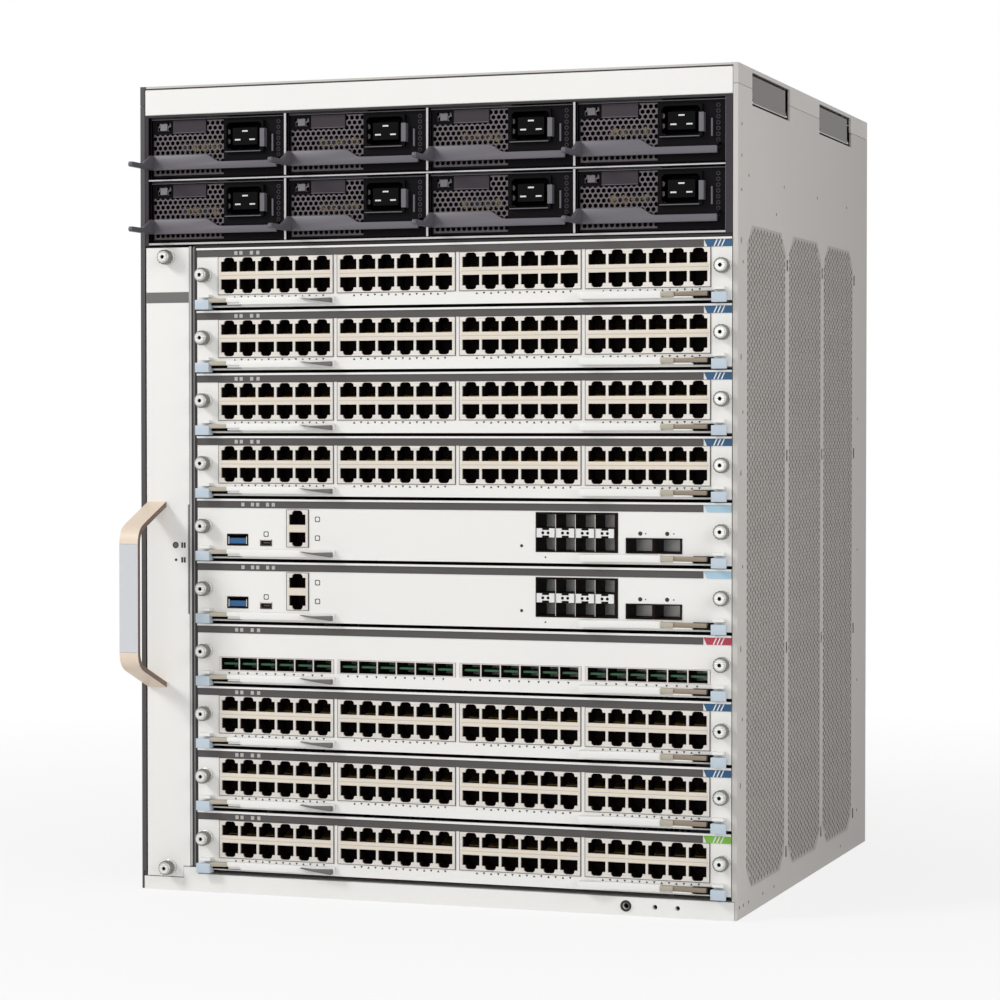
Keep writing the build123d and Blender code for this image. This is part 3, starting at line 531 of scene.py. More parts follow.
class Piece:
    """Collects parts in millimetres and turns them into one mesh."""

    def __init__(self):
        self.bm = bmesh.new()
        self.slots = []

    def dress(self, faces, finish):
        """Give new faces their finish."""
        if finish not in self.slots:
            self.slots.append(finish)
        for face in faces:
            face.material_index = self.slots.index(finish)

    def plate(self, loops, axis, start, end, finish):
        """Straight-walled part: its outline comes first, then its openings."""
        place, new_face = PLACES[axis], self.bm.faces.new
        near, far = [
            [self.bm.verts.new(place(u, v, w)) for loop in loops for u, v in loop] for w in (start, end)
        ]
        if len(loops) == 1:
            faces = [new_face(near), new_face(far)]
        else:
            triangles = tessellate_polygon([[Vector((u, v, 0)) for u, v in loop] for loop in loops])
            faces = [new_face([side[i] for i in corners]) for corners in triangles for side in (near, far)]
        first = 0
        for loop in loops:
            for i in range(len(loop)):
                a, b = first + i, first + (i + 1) % len(loop)
                faces.append(new_face((near[a], near[b], far[b], far[a])))
            first += len(loop)
        self.dress(faces, finish)

    def box(self, x0, x1, y0, y1, z0, z1, finish):
        """Block between two corners."""
        self.plate([rectangle(x0, z0, x1, z1)], "y", y0, y1, finish)

    def turned(self, profile, centre, axis, finish, sides=24, lobes=0.0):
        """Part of revolution from (radius, along) pairs; lobes notches every second corner."""
        rings = []
        for radius, along in profile:
            ring = [radius * (1 - lobes * (i % 2)) for i in range(sides)]
            turns = [(reach, 2 * math.pi * i / sides) for i, reach in enumerate(ring)]
            spots = [PLACES[axis](r * math.cos(turn), r * math.sin(turn), along) for r, turn in turns]
            rings.append([self.bm.verts.new(Vector(centre) + Vector(spot)) for spot in spots])
        faces = [self.bm.faces.new(rings[0]), self.bm.faces.new(rings[-1])]
        for low, high in zip(rings, rings[1:]):
            for i in range(sides):
                j = (i + 1) % sides
                faces.append(self.bm.faces.new((low[i], low[j], high[j], high[i])))
        self.dress(faces, finish)

    def mesh(self, mesh, finish, matrix=Matrix()):
        """Take in a mesh that is drawn in metres."""
        mesh.transform(matrix @ Matrix.Scale(1 / MM, 4))
        before = len(self.bm.faces)
        self.bm.from_mesh(mesh)
        self.bm.faces.ensure_lookup_table()
        self.dress(self.bm.faces[before:], finish)
        bpy.data.meshes.remove(mesh)

    def spread(self, part, points):
        """Copies of a small part of one finish, drawn round its own origin, on points."""
        finish = part.slots[0]
        base = bpy.data.meshes.new("points")
        base.from_pydata([Vector(point) * MM for point in points], [], [])
        holder = bpy.data.objects.new("part", part.to_mesh("part"))
        self.mesh(grown(copies_tree, base, part=holder, material=finish_of(finish)), finish)
        bpy.data.objects.remove(holder)

    def blocks(self, span, finish, points):
        """Copies of one block on points."""
        block = Piece()
        block.box(*span, finish)
        self.spread(block, points)

    def printed(self, outline, points, finish="mark_dark"):
        """Thin marks of one outline on points."""
        mark = Piece()
        mark.plate([outline], "y", -0.12, 0.1, finish)
        self.spread(mark, points)

    def screw(self, x, z):
        """Captive screw with a collar, a knurled grip and a recessed tip, pointing forward; the grip is
        darkened as painted shade, the tip lightened as painted highlight and the recess floor blackened as
        painted shade.
        """
        add = partial(self.turned, centre=(x, 0, z), axis="y")
        add([(5.3, 0), (5.3, -1.4), (4.4, -1.8), (3.8, -3.0)], finish="nickel", sides=20)
        # Knurled grip: painted shade
        add([(4.7, -3.0), (5.3, -3.6), (5.3, -8.6), (4.5, -9.6)], finish="nickel_dark", sides=28, lobes=0.07)
        add([(4.4, -9.5), (4.0, -9.9), (3.4, -9.9)], finish="nickel", sides=20)
        # Tip: painted highlight
        self.plate([round_loop(x, z, 3.3, 20), round_loop(x, z, 1.5, 6)], "y", -9.8, -10.8, "nickel_bright")
        # Black floor of the recess: painted shade
        add([(1.6, -9.85), (1.6, -10.0)], finish="black_plastic", sides=6)

    def to_mesh(self, name, bevel=0.0):
        """Finished mesh in metres, round the drawing's origin."""
        bmesh.ops.recalc_face_normals(self.bm, faces=self.bm.faces)
        mesh = bpy.data.meshes.new(name)
        self.bm.to_mesh(mesh)
        self.bm.free()
        mesh.transform(Matrix.Scale(MM, 4))
        for finish in self.slots:
            mesh.materials.append(finish_of(finish))
        if bevel:
            mesh = bevelled(mesh, bevel)
        mesh.shade_smooth()
        mesh.set_sharp_from_angle(angle=math.radians(32))
        return mesh


def bevelled(mesh, width):
    """The mesh with its sharp edges eased."""
    holder = bpy.data.objects.new("eased", mesh)
    bpy.context.scene.collection.objects.link(holder)
    modifier = holder.modifiers.new("ease", "BEVEL")
    modifier.width = width * MM
    modifier.segments = 2
    modifier.limit_method = "ANGLE"
    modifier.use_clamp_overlap = True
    return evaluated(holder)


def place_piece(name, mesh, body, nodes=(), shift=(0, 0, 0)):
    """Put a mesh into the row frame as a piece that rides on a body."""
    corner = Vector((-CHASSIS_WIDTH / 2, FRONT_Y, 0))
    mesh.transform(Matrix.Translation((Vector(shift) + corner) * MM))
    made = bpy.data.objects.new(name, mesh)
    bpy.context.scene.collection.objects.link(made)
    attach(made, body)
    if nodes:
        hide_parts(*nodes)


def repaint(node, finish):
    """Give a CAD node its finish."""
    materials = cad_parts[node].data.materials
    materials.clear()
    materials.append(finish_of(finish))


# Settings


def size_of(label, description, default, least=0.0):
    """Size in millimetres."""
    return FloatProperty(name=label, description=description + ", mm", default=default, min=least)


def colour_of(label, description, finish):
    """Colour whose default is the written colour of a finish."""
    written = SIDE_GREY if finish == "side_paint" else PAINTS[finish][0]
    return FloatVectorProperty(
        name=label, description=description, default=linear(*written)[:3], min=0.0, max=1.0, subtype="COLOR",
    )


class PanelSizes(bpy.types.PropertyGroup):
    """Side panels and their perforation."""

    hole_pitch: size_of("Hole Pitch", "Distance between the side holes", 5.2, 2.0)
    hole_share: FloatProperty(
        name="Hole Share", description="Part of each cell that is open", default=0.66, min=0.1, max=0.95,
    )
    field_corner: size_of("Field Corner", "Cut corner of a perforated field", 13.0)


class CardSizes(bpy.types.PropertyGroup):
    """Cards and their sockets."""

    first_top: size_of("First Top", "Height of the top slot's upper edge", 456.8)
    pitch: size_of("Card Pitch", "Distance from card to card", 44.45, 20.0)
    group_left: size_of("Group Left", "First socket group from the left side", 60.7)
    group_pitch: size_of("Group Pitch", "Distance between socket groups", 90.87)
    socket_pitch: size_of("Socket Pitch", "Distance between sockets", 14.2)
    columns: IntProperty(name="Columns", description="Sockets side by side in a group", default=6, min=1)


class SupplySizes(bpy.types.PropertyGroup):
    """Power supplies."""

    left: size_of("First Left", "Left edge of the first supply", 6.6)
    floor: size_of("First Floor", "Underside of the lower row", 462.7)
    column_pitch: size_of("Column Pitch", "Distance between supplies", 106.6)
    row_pitch: size_of("Row Pitch", "Distance between rows", 45.6)
    hole_pitch: size_of("Hole Pitch", "Distance between the front holes", 3.9, 2.0)


class FinishColours(bpy.types.PropertyGroup):
    """Colours of the main finishes, named as the finishes are."""

    white_enamel: colour_of("White Enamel", "Bezel, sill, cards and fan tray", "white_enamel")
    side_paint: colour_of("Side Paint", "Side sheets", "side_paint")
    handle_grey: colour_of("Handle Grey", "Carry handles", "handle_grey")
    black_steel: colour_of("Supply Black", "Cases of the power supplies", "black_steel")
    lever_grey: colour_of("Lever Grey", "Levers of the power supplies", "lever_grey")
    label_grey: colour_of("Band Grey", "Dark band along the top of each card", "label_grey")
    block_blue: colour_of("Port Block", "Coloured block of the port cards", "block_blue")
    block_sky: colour_of("Supervisor Block", "Coloured block of the supervisor cards", "block_sky")
    block_red: colour_of("Fibre Block", "Coloured block of the fibre card", "block_red")
    block_green: colour_of("Lowest Block", "Coloured block of the lowest card", "block_green")
    tab_sky: colour_of("Tab Blue", "Outer ends of the card levers", "tab_sky")
    strap_cream: colour_of("Strap Cream", "Legs of the fan tray's handle", "strap_cream")


class StageSettings(bpy.types.PropertyGroup):
    """Camera and light."""

    azimuth: FloatProperty(
        name="Azimuth", description="Camera angle from the front", default=math.radians(19.12), subtype="ANGLE",
    )
    elevation: FloatProperty(
        name="Elevation", description="Camera angle above the horizon", default=math.radians(1.33),
        subtype="ANGLE",
    )
    distance: FloatProperty(
        name="Distance", description="Camera distance", default=2.235, unit="LENGTH", subtype="DISTANCE",
    )
    lens: FloatProperty(name="Lens", description="Focal length in mm", default=105.84)
    key_power: FloatProperty(name="Key Power", description="Strength of the key light, W", default=36.0)
    fill_power: FloatProperty(name="Fill Power", description="Strength of the fill light, W", default=18.0)
    floor_colour: FloatVectorProperty(
        name="Floor Colour", description="Colour of the floor", default=(0.86, 0.86, 0.86), subtype="COLOR",
    )


class ChassisLook(bpy.types.PropertyGroup):
    """All settings of the chassis switch."""

    panels: PointerProperty(type=PanelSizes)
    cards: PointerProperty(type=CardSizes)
    supplies: PointerProperty(type=SupplySizes)
    stage: PointerProperty(type=StageSettings)
    colours: PointerProperty(type=FinishColours)


# Sheet metal: places along the depth and height of a side

FIELDS = {"front": (25.0, 134.0), "middle": (145.0, 246.0), "rear": (256.0, 356.0)}
FIELD_BOTTOM, FIELD_TOP = 17.0, 468.0
NOTCHES, NOTCH_BOTTOM = ((38.0, 146.0), (240.0, 350.0)), 549.0
SHEET, PERFORATED_SHEET = 1.5, 1.1
SLOTS = [(y, z) for y in (140, 251, 362) for z in (28, 174, 311, 446)]
SMALL_HOLES = [
    *((14, z) for z in (134, 237, 341, 442)), *((376, z) for z in (29, 132, 235, 338)),
    *((y, 8) for y in (7, 18, 32, 72, 104, 318)), *((10, z) for z in (490, 513, 534)),
    *((y, 501) for y in (29, 130, 234, 334)), (107, 480),
]
BRACKET_Y, BRACKET_RADIUS = 9, 2.2
BRACKET_HEIGHTS = {"right": (300, 378, 456), "left": (297, 375, 453)}


class CHASSIS_OT_side_panels(bpy.types.Operator):
    """Builds both side panels with their perforated fields"""

    bl_idname = "chassis.side_panels"
    bl_label = "Side Panels"

    def execute(self, context):
        sizes = context.scene.chassis_look.panels
        for side in SIDES:
            outer, inward = (0.0, 1) if side == "left" else (CHASSIS_WIDTH, -1)
            self.sheet(side, outer, inward, sizes)
            self.backings(side, outer + inward * 0.32)
            near_face = outer + (1.25 if side == "left" else -0.15)
            for label, (start, end) in FIELDS.items():
                self.field(f"perforation_{side}_{label}", near_face, start, end, sizes)
        return {"FINISHED"}

    def sheet(self, side, outer, inward, sizes):
        """Outer sheet with its notches and openings, and the flange at its front."""
        depth, top = (panel_high.y - panel_low.y) / MM, panel_high.z / MM
        outline = [(0, 0), (depth, 0), (depth, top)]
        for start, end in reversed(NOTCHES):
            outline += [(end, top), (end, NOTCH_BOTTOM), (start, NOTCH_BOTTOM), (start, top)]
        openings = [
            chamfered(start, FIELD_BOTTOM, end, FIELD_TOP, sizes.field_corner) for start, end in FIELDS.values()
        ]
        openings += [rectangle(y - 2, z - 4, y + 2, z + 4) for y, z in SLOTS]
        openings += [round_loop(BRACKET_Y, z, BRACKET_RADIUS) for z in (90, 182)]
        openings += [round_loop(y, z, 1.3, 8) for y, z in SMALL_HOLES]
        openings += [round_loop(BRACKET_Y, z, BRACKET_RADIUS) for z in BRACKET_HEIGHTS[side]]
        piece = Piece()
        piece.plate([[*outline, (0, top)], *openings], "x", outer, outer + inward * SHEET, "side_paint")
        flange = sorted((outer + inward * SHEET, outer + inward * 3.4))
        piece.box(*flange, 0, SHEET, 12.6, top, "side_paint")
        mesh = piece.to_mesh("side_panel_" + side)
        place_piece("sheet_" + side, mesh, "chassis", [side + "_side_panel"])

    def backings(self, side, deep):
        """Black patches behind the bracket slots and the small holes of a side sheet: painted shade for the
        shadowed steel behind them.
        """
        piece, hole = Piece(), Piece()
        hole.turned([(1.28, -0.06), (1.28, 0.06)], (0, 0, 0), "x", "black_plastic", 8)
        slot_places, hole_places = [[(deep, y, z) for y, z in places] for places in (SLOTS, SMALL_HOLES)]
        piece.blocks((-0.06, 0.06, -1.95, 1.95, -3.95, 3.95), "black_plastic", slot_places)
        piece.spread(hole, hole_places)
        place_piece("backing_" + side, piece.to_mesh("backing"), "chassis")

    def field(self, name, near_face, start, end, sizes):
        """One perforated field, its columns of holes running up the side."""
        sheet = grown(
            perforated_tree, width=(FIELD_TOP - FIELD_BOTTOM) * MM, height=(end - start) * MM,
            pitch=sizes.hole_pitch * MM, opening=sizes.hole_share, thickness=PERFORATED_SHEET * MM,
            corner=sizes.field_corner * MM, margin=2.6 * MM, material=finish_of("perforated_paint"),
        )
        sheet.transform(Matrix(((0, 0, -1, 0), (0, 1, 0, 0), (1, 0, 0, 0), (0, 0, 0, 1))))
        middle = Vector((near_face, (start + end) / 2, (FIELD_BOTTOM + FIELD_TOP) / 2))
        sheet.transform(Matrix.Translation(middle * MM))
        place_piece(name, sheet, "chassis")


class CHASSIS_OT_shell(bpy.types.Operator):
    """Finishes the cover, bezel, base, cage, rear panel and carry handles"""

    bl_idname = "chassis.shell"
    bl_label = "Shell"

    def execute(self, context):
        for node, finish in (
            ("top_cover", "cover_paint"), ("base_pan", "white_enamel"), ("rear_panel", "cover_paint"),
            ("top_bezel", "white_enamel"), ("power_bay_frame", "bay_steel"), ("card_cage", "post_steel"),
            ("backplane", "board_green"),
        ):
            repaint(node, finish)
        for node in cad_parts:
            if node.startswith("carry_handle"):
                repaint(node, "handle_grey")
                self.lip(node)
        trim = Piece()
        trim.box(3.5, 436.5, -0.1, 0.4, 551.7, 553.3, "dark_trim")
        # Dark strip along the bezel's top edge: painted shade under the cover's front edge
        trim.box(3.5, 436.5, -0.1, 0.4, 571.5, 572.3, "dark_trim")
        trim.box(38.2, 39.7, -0.1, 0.3, 18, 459.6, "light_trim")
        trim.box(41.3, 42.2, -0.1, 0.3, 18, 459.6, "mid_trim")
        jack_ring = [round_loop(362.7, 6.3, radius, 20) for radius in (3.9, 2.2)]
        trim.plate(jack_ring, "y", -0.9, -0.55, "dark_trim")
        place_piece("front_trim", trim.to_mesh("front_trim"), "chassis")
        return {"FINISHED"}

    def lip(self, node):
        """Rolled lip along the lower edge of a carry handle, coloured light as a painted highlight."""
        low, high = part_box(node)
        x = high.x / MM - 0.8 if high.x > 0 else low.x / MM + 0.8
        start, end = [y / MM - FRONT_Y for y in (low.y, high.y)]
        profile = [(0.5, start + 0.6), (0.8, start + 1.0), (0.8, end - 1.0), (0.5, end - 0.6)]
        rod = Piece()
        rod.turned(profile, (x + CHASSIS_WIDTH / 2, 0, low.z / MM + 0.3), "y", "handle_edge", 12)
        place_piece("lip_" + node, rod.to_mesh("lip"), node)


# Power supplies: a case from its front plate's lower left corner, 104.6 wide and 43 high

CASE_WIDTH, CASE_HEIGHT, CASE_FRONT, CASE_END = 104.6, 43.0, 4.5, 330.0
GRILLE = [(2, 2.4), (56.5, 2.4), (56.5, 41.2), (43.5, 41.2), (43.5, 31.8), (2, 31.8)]
SWITCH = (4.0, 33.0, 16.6, 40.8)
INLET = (58.6, 17.4, 88.4, 39.7)
INLET_BLADES = ((73.5, 32.15), (67.9, 26.15), (79.1, 26.15))


class CHASSIS_OT_supplies(bpy.types.Operator):
    """Builds the eight power supplies and their levers"""

    bl_idname = "chassis.supplies"
    bl_label = "Power Supplies"

    def execute(self, context):
        sizes = context.scene.chassis_look.supplies
        case = self.case(sizes).to_mesh("supply_case")
        lever = self.lever().to_mesh("supply_lever", 0.4)
        for row, row_name in enumerate(("lower", "upper")):
            for column in range(4):
                tag = f"{row_name}_{column + 1}"
                x, z = sizes.left + column * sizes.column_pitch, sizes.floor + row * sizes.row_pitch
                body = "power_supply_" + tag
                shift = (x, CASE_FRONT, z)
                place_piece("supply_case_" + tag, case.copy(), body, [body], shift)
                body = "supply_lever_" + tag
                place_piece("supply_handle_" + tag, lever.copy(), body, [body], (x, 0, z))
        return {"FINISHED"}

    def case(self, sizes):
        """Case with its front plate, grille, inlet, switch and latch."""
        part = Piece()
        shell = [rectangle(0, 0, CASE_WIDTH, CASE_HEIGHT, wall) for wall in (0, 1)]
        part.plate(shell, "y", 0, CASE_END, "black_steel")
        part.box(1, 103.6, CASE_END - 2, CASE_END, 1, 42, "zinc")
        part.box(22.3, 82.3, CASE_END, CASE_END + 8.8, 12.5, 30.5, "black_plastic")
        face = rectangle(0, 0, CASE_WIDTH, CASE_HEIGHT, 0.4)
        part.plate([face, GRILLE, rectangle(*SWITCH), rectangle(*INLET, 1)], "y", 0, 1.2, "black_steel")
        # Light grey strip along the top of the front plate: painted highlight on the lit top edge
        part.box(0.4, 104.2, -0.4, 0, 42, 42.6, "light_grey")

        grille = grown(
            perforated_tree, width=56 * MM, height=40 * MM, pitch=sizes.hole_pitch * MM, opening=0.74,
            thickness=0.8 * MM, corner=0.0, margin=0.0, material=finish_of("grille_steel"),
        )
        upright = Matrix.Translation((29.2, 1.2, 22)) @ Matrix.Rotation(math.radians(90), 4, "X")
        part.mesh(grille, "grille_steel", upright)
        # Black plate behind the grille: painted shade for the dark inside of the supply
        part.box(2, 58, 14, 16, 2, 41, "black_plastic")
        for column in range(4):
            part.turned([(3.6, 0), (3.6, 6)], (24.5 + column * 7.8, 5, 22.5), "y", "coil_windings", 14)
        part.box(17.2, 42.8, -0.3, 0, 32.6, 41.4, "blank_purple")
        part.box(17.2, 42.8, -0.35, -0.25, 32.3, 32.7, "lever_grey")

        part.plate([rectangle(*SWITCH), rectangle(*SWITCH, 1)], "y", -0.5, 3, "black_plastic")
        part.box(4, 16.6, 3, 4, 33, 40.8, "black_plastic")
        rocker = [(-0.6, 34.4), (2.5, 34.4), (2.5, 39.4), (0.3, 39.4)]
        part.plate([rocker], "x", 7.2, 12.4, "light_grey")

        well = chamfered(60.0, 18.8, 87.0, 38.3, 2.0)
        part.plate([rectangle(*INLET), well], "y", -3, 16, "black_plastic")
        part.box(58.6, 88.4, 16, 17, 17.4, 39.7, "black_plastic")
        part.box(64, 83, -1, 16, 22.55, 34.55, "black_plastic")
        for x, z in INLET_BLADES:
            part.box(x - 2.1, x + 2.1, -1.3, -0.9, z - 0.5, z + 0.5, "blade_bright")
        part.box(58.6, 86.4, -3.1, -2.9, 17.5, 18.1, "lever_grey")

        # Latch tab in light grey: painted highlight where the dark latch catches the light
        part.box(86.6, 89.9, -5, -3, 20.6, 33.4, "light_grey")
        part.box(89.2, 89.9, -3, 0, 20.6, 33.4, "light_grey")
        part.box(94.1, 95.2, -1.5, 0, 17.5, 29.5, "lever_grey")
        for row in range(8):
            ring = [round_loop(98.8, 11 + row * 3.9, radius, 10) for radius in (1.5, 0.9)]
            part.plate(ring, "y", -0.25, 0, "blank_purple")
        part.box(93.5, 100.5, -5, 0, 11.3, 13.3, "black_steel")
        return part

    def lever(self):
        """Flat lever that steps down to a bar, with its pull tongue."""
        low, bar, plate = 6.0, 11.0, 16.4
        outline = [(99, low), (1, low), (1, plate)]
        for i in range(9):
            fall = (1 - math.cos(math.pi * i / 8)) / 2
            outline.append((44 + 1.5 * i, plate + (bar - plate) * fall))
        tongue = [
            (-34.3, 9.6), (-15.5, 9.6), (-2, plate), (2.4, plate), (2.4, low), (-34.3, low),
            (-35.5, 7.2), (-35.5, 8.4),
        ]
        part = Piece()
        part.plate([[*outline, (99, bar)]], "y", -0.5, 2.5, "lever_grey")
        part.plate([tongue], "x", 1, 4, "lever_grey")
        return part


# Cards: heights count from the upper edge of the slot

CARD_KINDS = {5: "supervisor", 6: "supervisor", 7: "fibre"}
BLOCKS = {5: "block_sky", 6: "block_sky", 7: "block_red", 10: "block_green"}
CARD_LEFT, CARD_RIGHT, FACE_BOTTOM, FACE_TOP = 44.3, 436.0, -40.9, 1.3
GROUP_MIDDLE, MARK_HEIGHT = 44.15, -33.6
LEVER_PIVOTS = {"left": 52.0, "right": 428.3}
MARK_UP = [(-0.9, -0.75), (0.9, -0.75), (0, 0.75)]
MARK_DOWN = [(-0.9, 0.75), (0, -0.75), (0.9, 0.75)]

# Openings of a supervisor card: left, bottom, right and top
USB = (67.3, -31.8, 83.5, -23.4)
CONSOLE = (92.7, -31.9, 101.8, -27.1)
STACK = (112.9, -32.4, 130.0, -5.8)
UPLINKS = (298.0, -33.3, 356.8, -6.0)
WIDE_UPLINKS = (362.3, -33.4, 401.8, -22.9)

# Round marks of a supervisor card: radius and places
DOTS = (
    (1.5, ((372.4, -19.9), (391.3, -19.9))), (0.5, ((376.2, -19.9), (395.9, -19.9))),
    (1.1, ((287.8, -29.2),)), (0.6, ((305.0, -36.8), (337.8, -37.4), (371.7, -37.4))),
)


def socket_pair(x, upper, lower):
    """Outlines of two stacked sockets, their domed latch notches turned away from each other."""
    half = [(6.25, 0), (6.25, 7.3), (4.2, 7.3), (3.7, 9.2), (2.3, 10.1)]
    outline = [(-6.25, 0), *half, *((-u, v) for u, v in reversed(half[1:]))]
    return [[(x + u, z + way * v) for u, v in outline] for z, way in ((upper, 1), (lower, -1))]


class CHASSIS_OT_cards(bpy.types.Operator):
    """Builds the ten cards"""

    bl_idname = "chassis.cards"
    bl_label = "Cards"

    def execute(self, context):
        sizes = context.scene.chassis_look.cards
        groups = [sizes.group_left + i * sizes.group_pitch for i in range(4)]
        steps = [(i - (sizes.columns - 1) / 2) * sizes.socket_pitch for i in range(sizes.columns)]
        centres = {left: [left + GROUP_MIDDLE + step for step in steps] for left in groups}
        masters = {}
        for slot in range(1, 11):
            kind = CARD_KINDS.get(slot, "port")
            block = BLOCKS.get(slot, "block_blue")
            if (kind, block) not in masters:
                part = Piece()
                getattr(self, kind)(part, centres)
                self.common(part, kind, block)
                masters[kind, block] = part.to_mesh(kind + "_card")
            shift = (0, 0, sizes.first_top - (slot - 1) * sizes.pitch)
            body = f"{kind}_card_slot_{slot}"
            mesh = masters[kind, block].copy()
            place_piece("dressed_" + body, mesh, body, [body], shift)
        return {"FINISHED"}

    def face(self, part, openings):
        """Faceplate with its openings."""
        outline = rectangle(CARD_LEFT, FACE_BOTTOM, CARD_RIGHT, FACE_TOP)
        part.plate([outline, *openings], "y", 0, 1.5, "white_enamel")

    def common(self, part, kind, block):
        """Lip, label band, block, screws, ears, tray, heat sinks and connector of every card."""
        part.box(CARD_LEFT, CARD_RIGHT, -1.2, 0.2, -0.1, FACE_TOP, "white_enamel")
        part.box(CARD_LEFT, 416.5, -0.35, 0.1, -5.1, -0.15, "label_grey")
        part.plate([[(416.8, -0.15), (436, -0.15), (436, -5.1), (419, -5.1)]], "y", -0.4, 0.1, block)
        if block != "block_sky":
            for x in (423.2, 425.8, 428.4):
                stripe = [(x, -4.9), (x + 0.9, -4.9), (x + 3.0, -0.35), (x + 2.1, -0.35)]
                part.plate([stripe], "y", -0.5, -0.3, "mark_white")
        glyphs = (79.6, 87.0, 91.0, 98.6, 103.0) if kind == "supervisor" else (74.6, 78.5, 86.6, 91.5)
        part.printed(rectangle(-1.2, -1.3, 1.2, 1.3), [(x, -0.4, -2.6) for x in glyphs], "mark_light")
        for x in (50.8, 430.4):
            part.screw(x, -18)
        for x in LEVER_PIVOTS.values():
            part.box(x - 4, x + 4, -6.3, 0.2, -33.9, -31.9, "white_enamel")

        floor, board = -39.9, -35.1
        part.box(44.9, 435.4, 1.5, 331, floor, floor + 1.6, "zinc")
        part.box(50, 430, 30, 326, board - 1.6, board, "board_green")
        chips = [(x, y, board) for x in (80, 120, 240, 360, 400) for y in (60, 95, 260, 300)]
        part.blocks((-9, 9, -9, 9, 0, 2.2), "chip_black", chips)
        fins = []
        for x in (145.15, 335.15):
            part.box(x - 31, x + 31, 159, 221, board, board + 2.4, "aluminium")
            fins += [(x - 29 + i * 4.14, 190, board + 2.4) for i in range(15)]
        part.blocks((-0.6, 0.6, -31, 31, 0, 15.0), "aluminium", fins)
        part.box(180.15, 300.15, 331, 343.3, floor, floor + 20.6, "black_plastic")
        part.box(180.15, 300.15, 322, 331, board, floor + 20.6, "black_plastic")

    def port(self, part, centres):
        """Groups of stacked network sockets."""
        self.face(part, [rectangle(x + 0.2, -31.9, x + 88.1, -5.3) for x in centres])
        for left, middles in centres.items():
            loops = [loop for x in middles for loop in socket_pair(x, -15.8, -21.0)]
            outer = rectangle(left + 0.5, -31.7, left + 87.8, -5.4)
            part.plate([outer, *loops], "y", -0.8, 0.5, "socket_shield")
            part.plate([outer, *loops], "y", 0.5, 15, "socket_black")
            part.plate([rectangle(left, -32.1, left + 88.3, -5.1), outer], "y", -0.5, 1.6, "outline_dark")
            part.box(left + 0.5, left + 87.8, 15, 28, -31.7, -5.4, "socket_black")
            part.box(left + 1.6, left + 86.7, -0.95, -0.75, -20.5, -16.3, "socket_cream")
            part.box(left + 1.6, left + 86.7, -1.0, -0.93, -18.6, -18.2, "light_trim")
        spring = [(2.5, 0.2), (3.0, 0.2), (11.0, 3.2), (11.0, 3.7), (2.5, 0.7)]
        comb = Piece()
        for i in range(8):
            x = (i - 3.5) * 1.02
            comb.plate([spring], "x", x - 0.24, x + 0.24, "contact_gold")
        part.spread(comb, [(x, 3.5, -15.8) for middles in centres.values() for x in middles])
        marks = [(left + 12.8 + i * 5.2, 0, MARK_HEIGHT) for left in centres for i in range(14)]
        part.printed(MARK_UP, marks[::2])
        part.printed(MARK_DOWN, marks[1::2])

    def fibre(self, part, centres):
        """Groups of fibre sockets in one row."""
        self.face(part, [rectangle(x, -31.9, x + 88.3, -21.9) for x in centres])
        for left, middles in centres.items():
            outer = rectangle(left + 0.3, -31.7, left + 88.0, -22.1)
            loops = [rectangle(x - 6.7, -31.2, x + 6.7, -22.6) for x in middles]
            part.plate([outer, *loops], "y", -0.3, 0.6, "socket_shield")
            part.plate([outer, *loops], "y", 0.6, 22, "socket_black")
            part.box(left + 0.3, left + 88.0, 22, 28, -31.7, -22.1, "zinc")
            part.blocks((-5.4, 5.4, 2, 20, -0.7, 0.7), "board_green", [(x, 0, -26.9) for x in middles])
        part.printed(MARK_DOWN, [(left + 8 + i * 7.1, 0, MARK_HEIGHT) for left in centres for i in range(11)])

    def supervisor(self, part, centres):
        """Service sockets at the left, uplink sockets at the right."""
        self.face(part, [rectangle(*area) for area in (USB, CONSOLE, STACK, UPLINKS, WIDE_UPLINKS)])
        part.plate([rectangle(*USB), rectangle(*USB, 0.9)], "y", -0.4, 14, "socket_black")
        part.box(67.3, 83.5, 14, 15, -31.8, -23.4, "socket_black")
        part.box(68.9, 81.9, 0.4, 14, -30.3, -26.4, "usb_blue")
        for x in (68.3, 82.0):
            part.box(x, x + 0.5, -0.2, 1, -30.6, -25.4, "socket_shield")
        part.plate([rectangle(*CONSOLE), rectangle(*CONSOLE, 0.8)], "y", -0.3, 10, "outline_dark")
        part.box(92.7, 101.8, 10, 11, -31.9, -27.1, "socket_black")
        part.box(93.0, 101.5, -0.4, 0, -27.8, -26.8, "socket_shield")
        part.box(94.7, 99.8, 1, 10, -30.0, -29.0, "outline_dark")

        loops = socket_pair(121.45, -16.6, -21.8)
        inner = rectangle(113.4, -32.1, 129.5, -6.1)
        part.plate([rectangle(*STACK), inner], "y", -0.6, 1.6, "outline_dark")
        part.plate([inner, *loops], "y", -0.8, 0.5, "socket_shield")
        part.plate([inner, *loops], "y", 0.5, 14, "socket_black")
        part.box(113.4, 129.5, 14, 20, -32.1, -6.1, "socket_black")
        part.box(114.45, 128.45, -0.95, -0.75, -21.4, -17.0, "socket_cream")

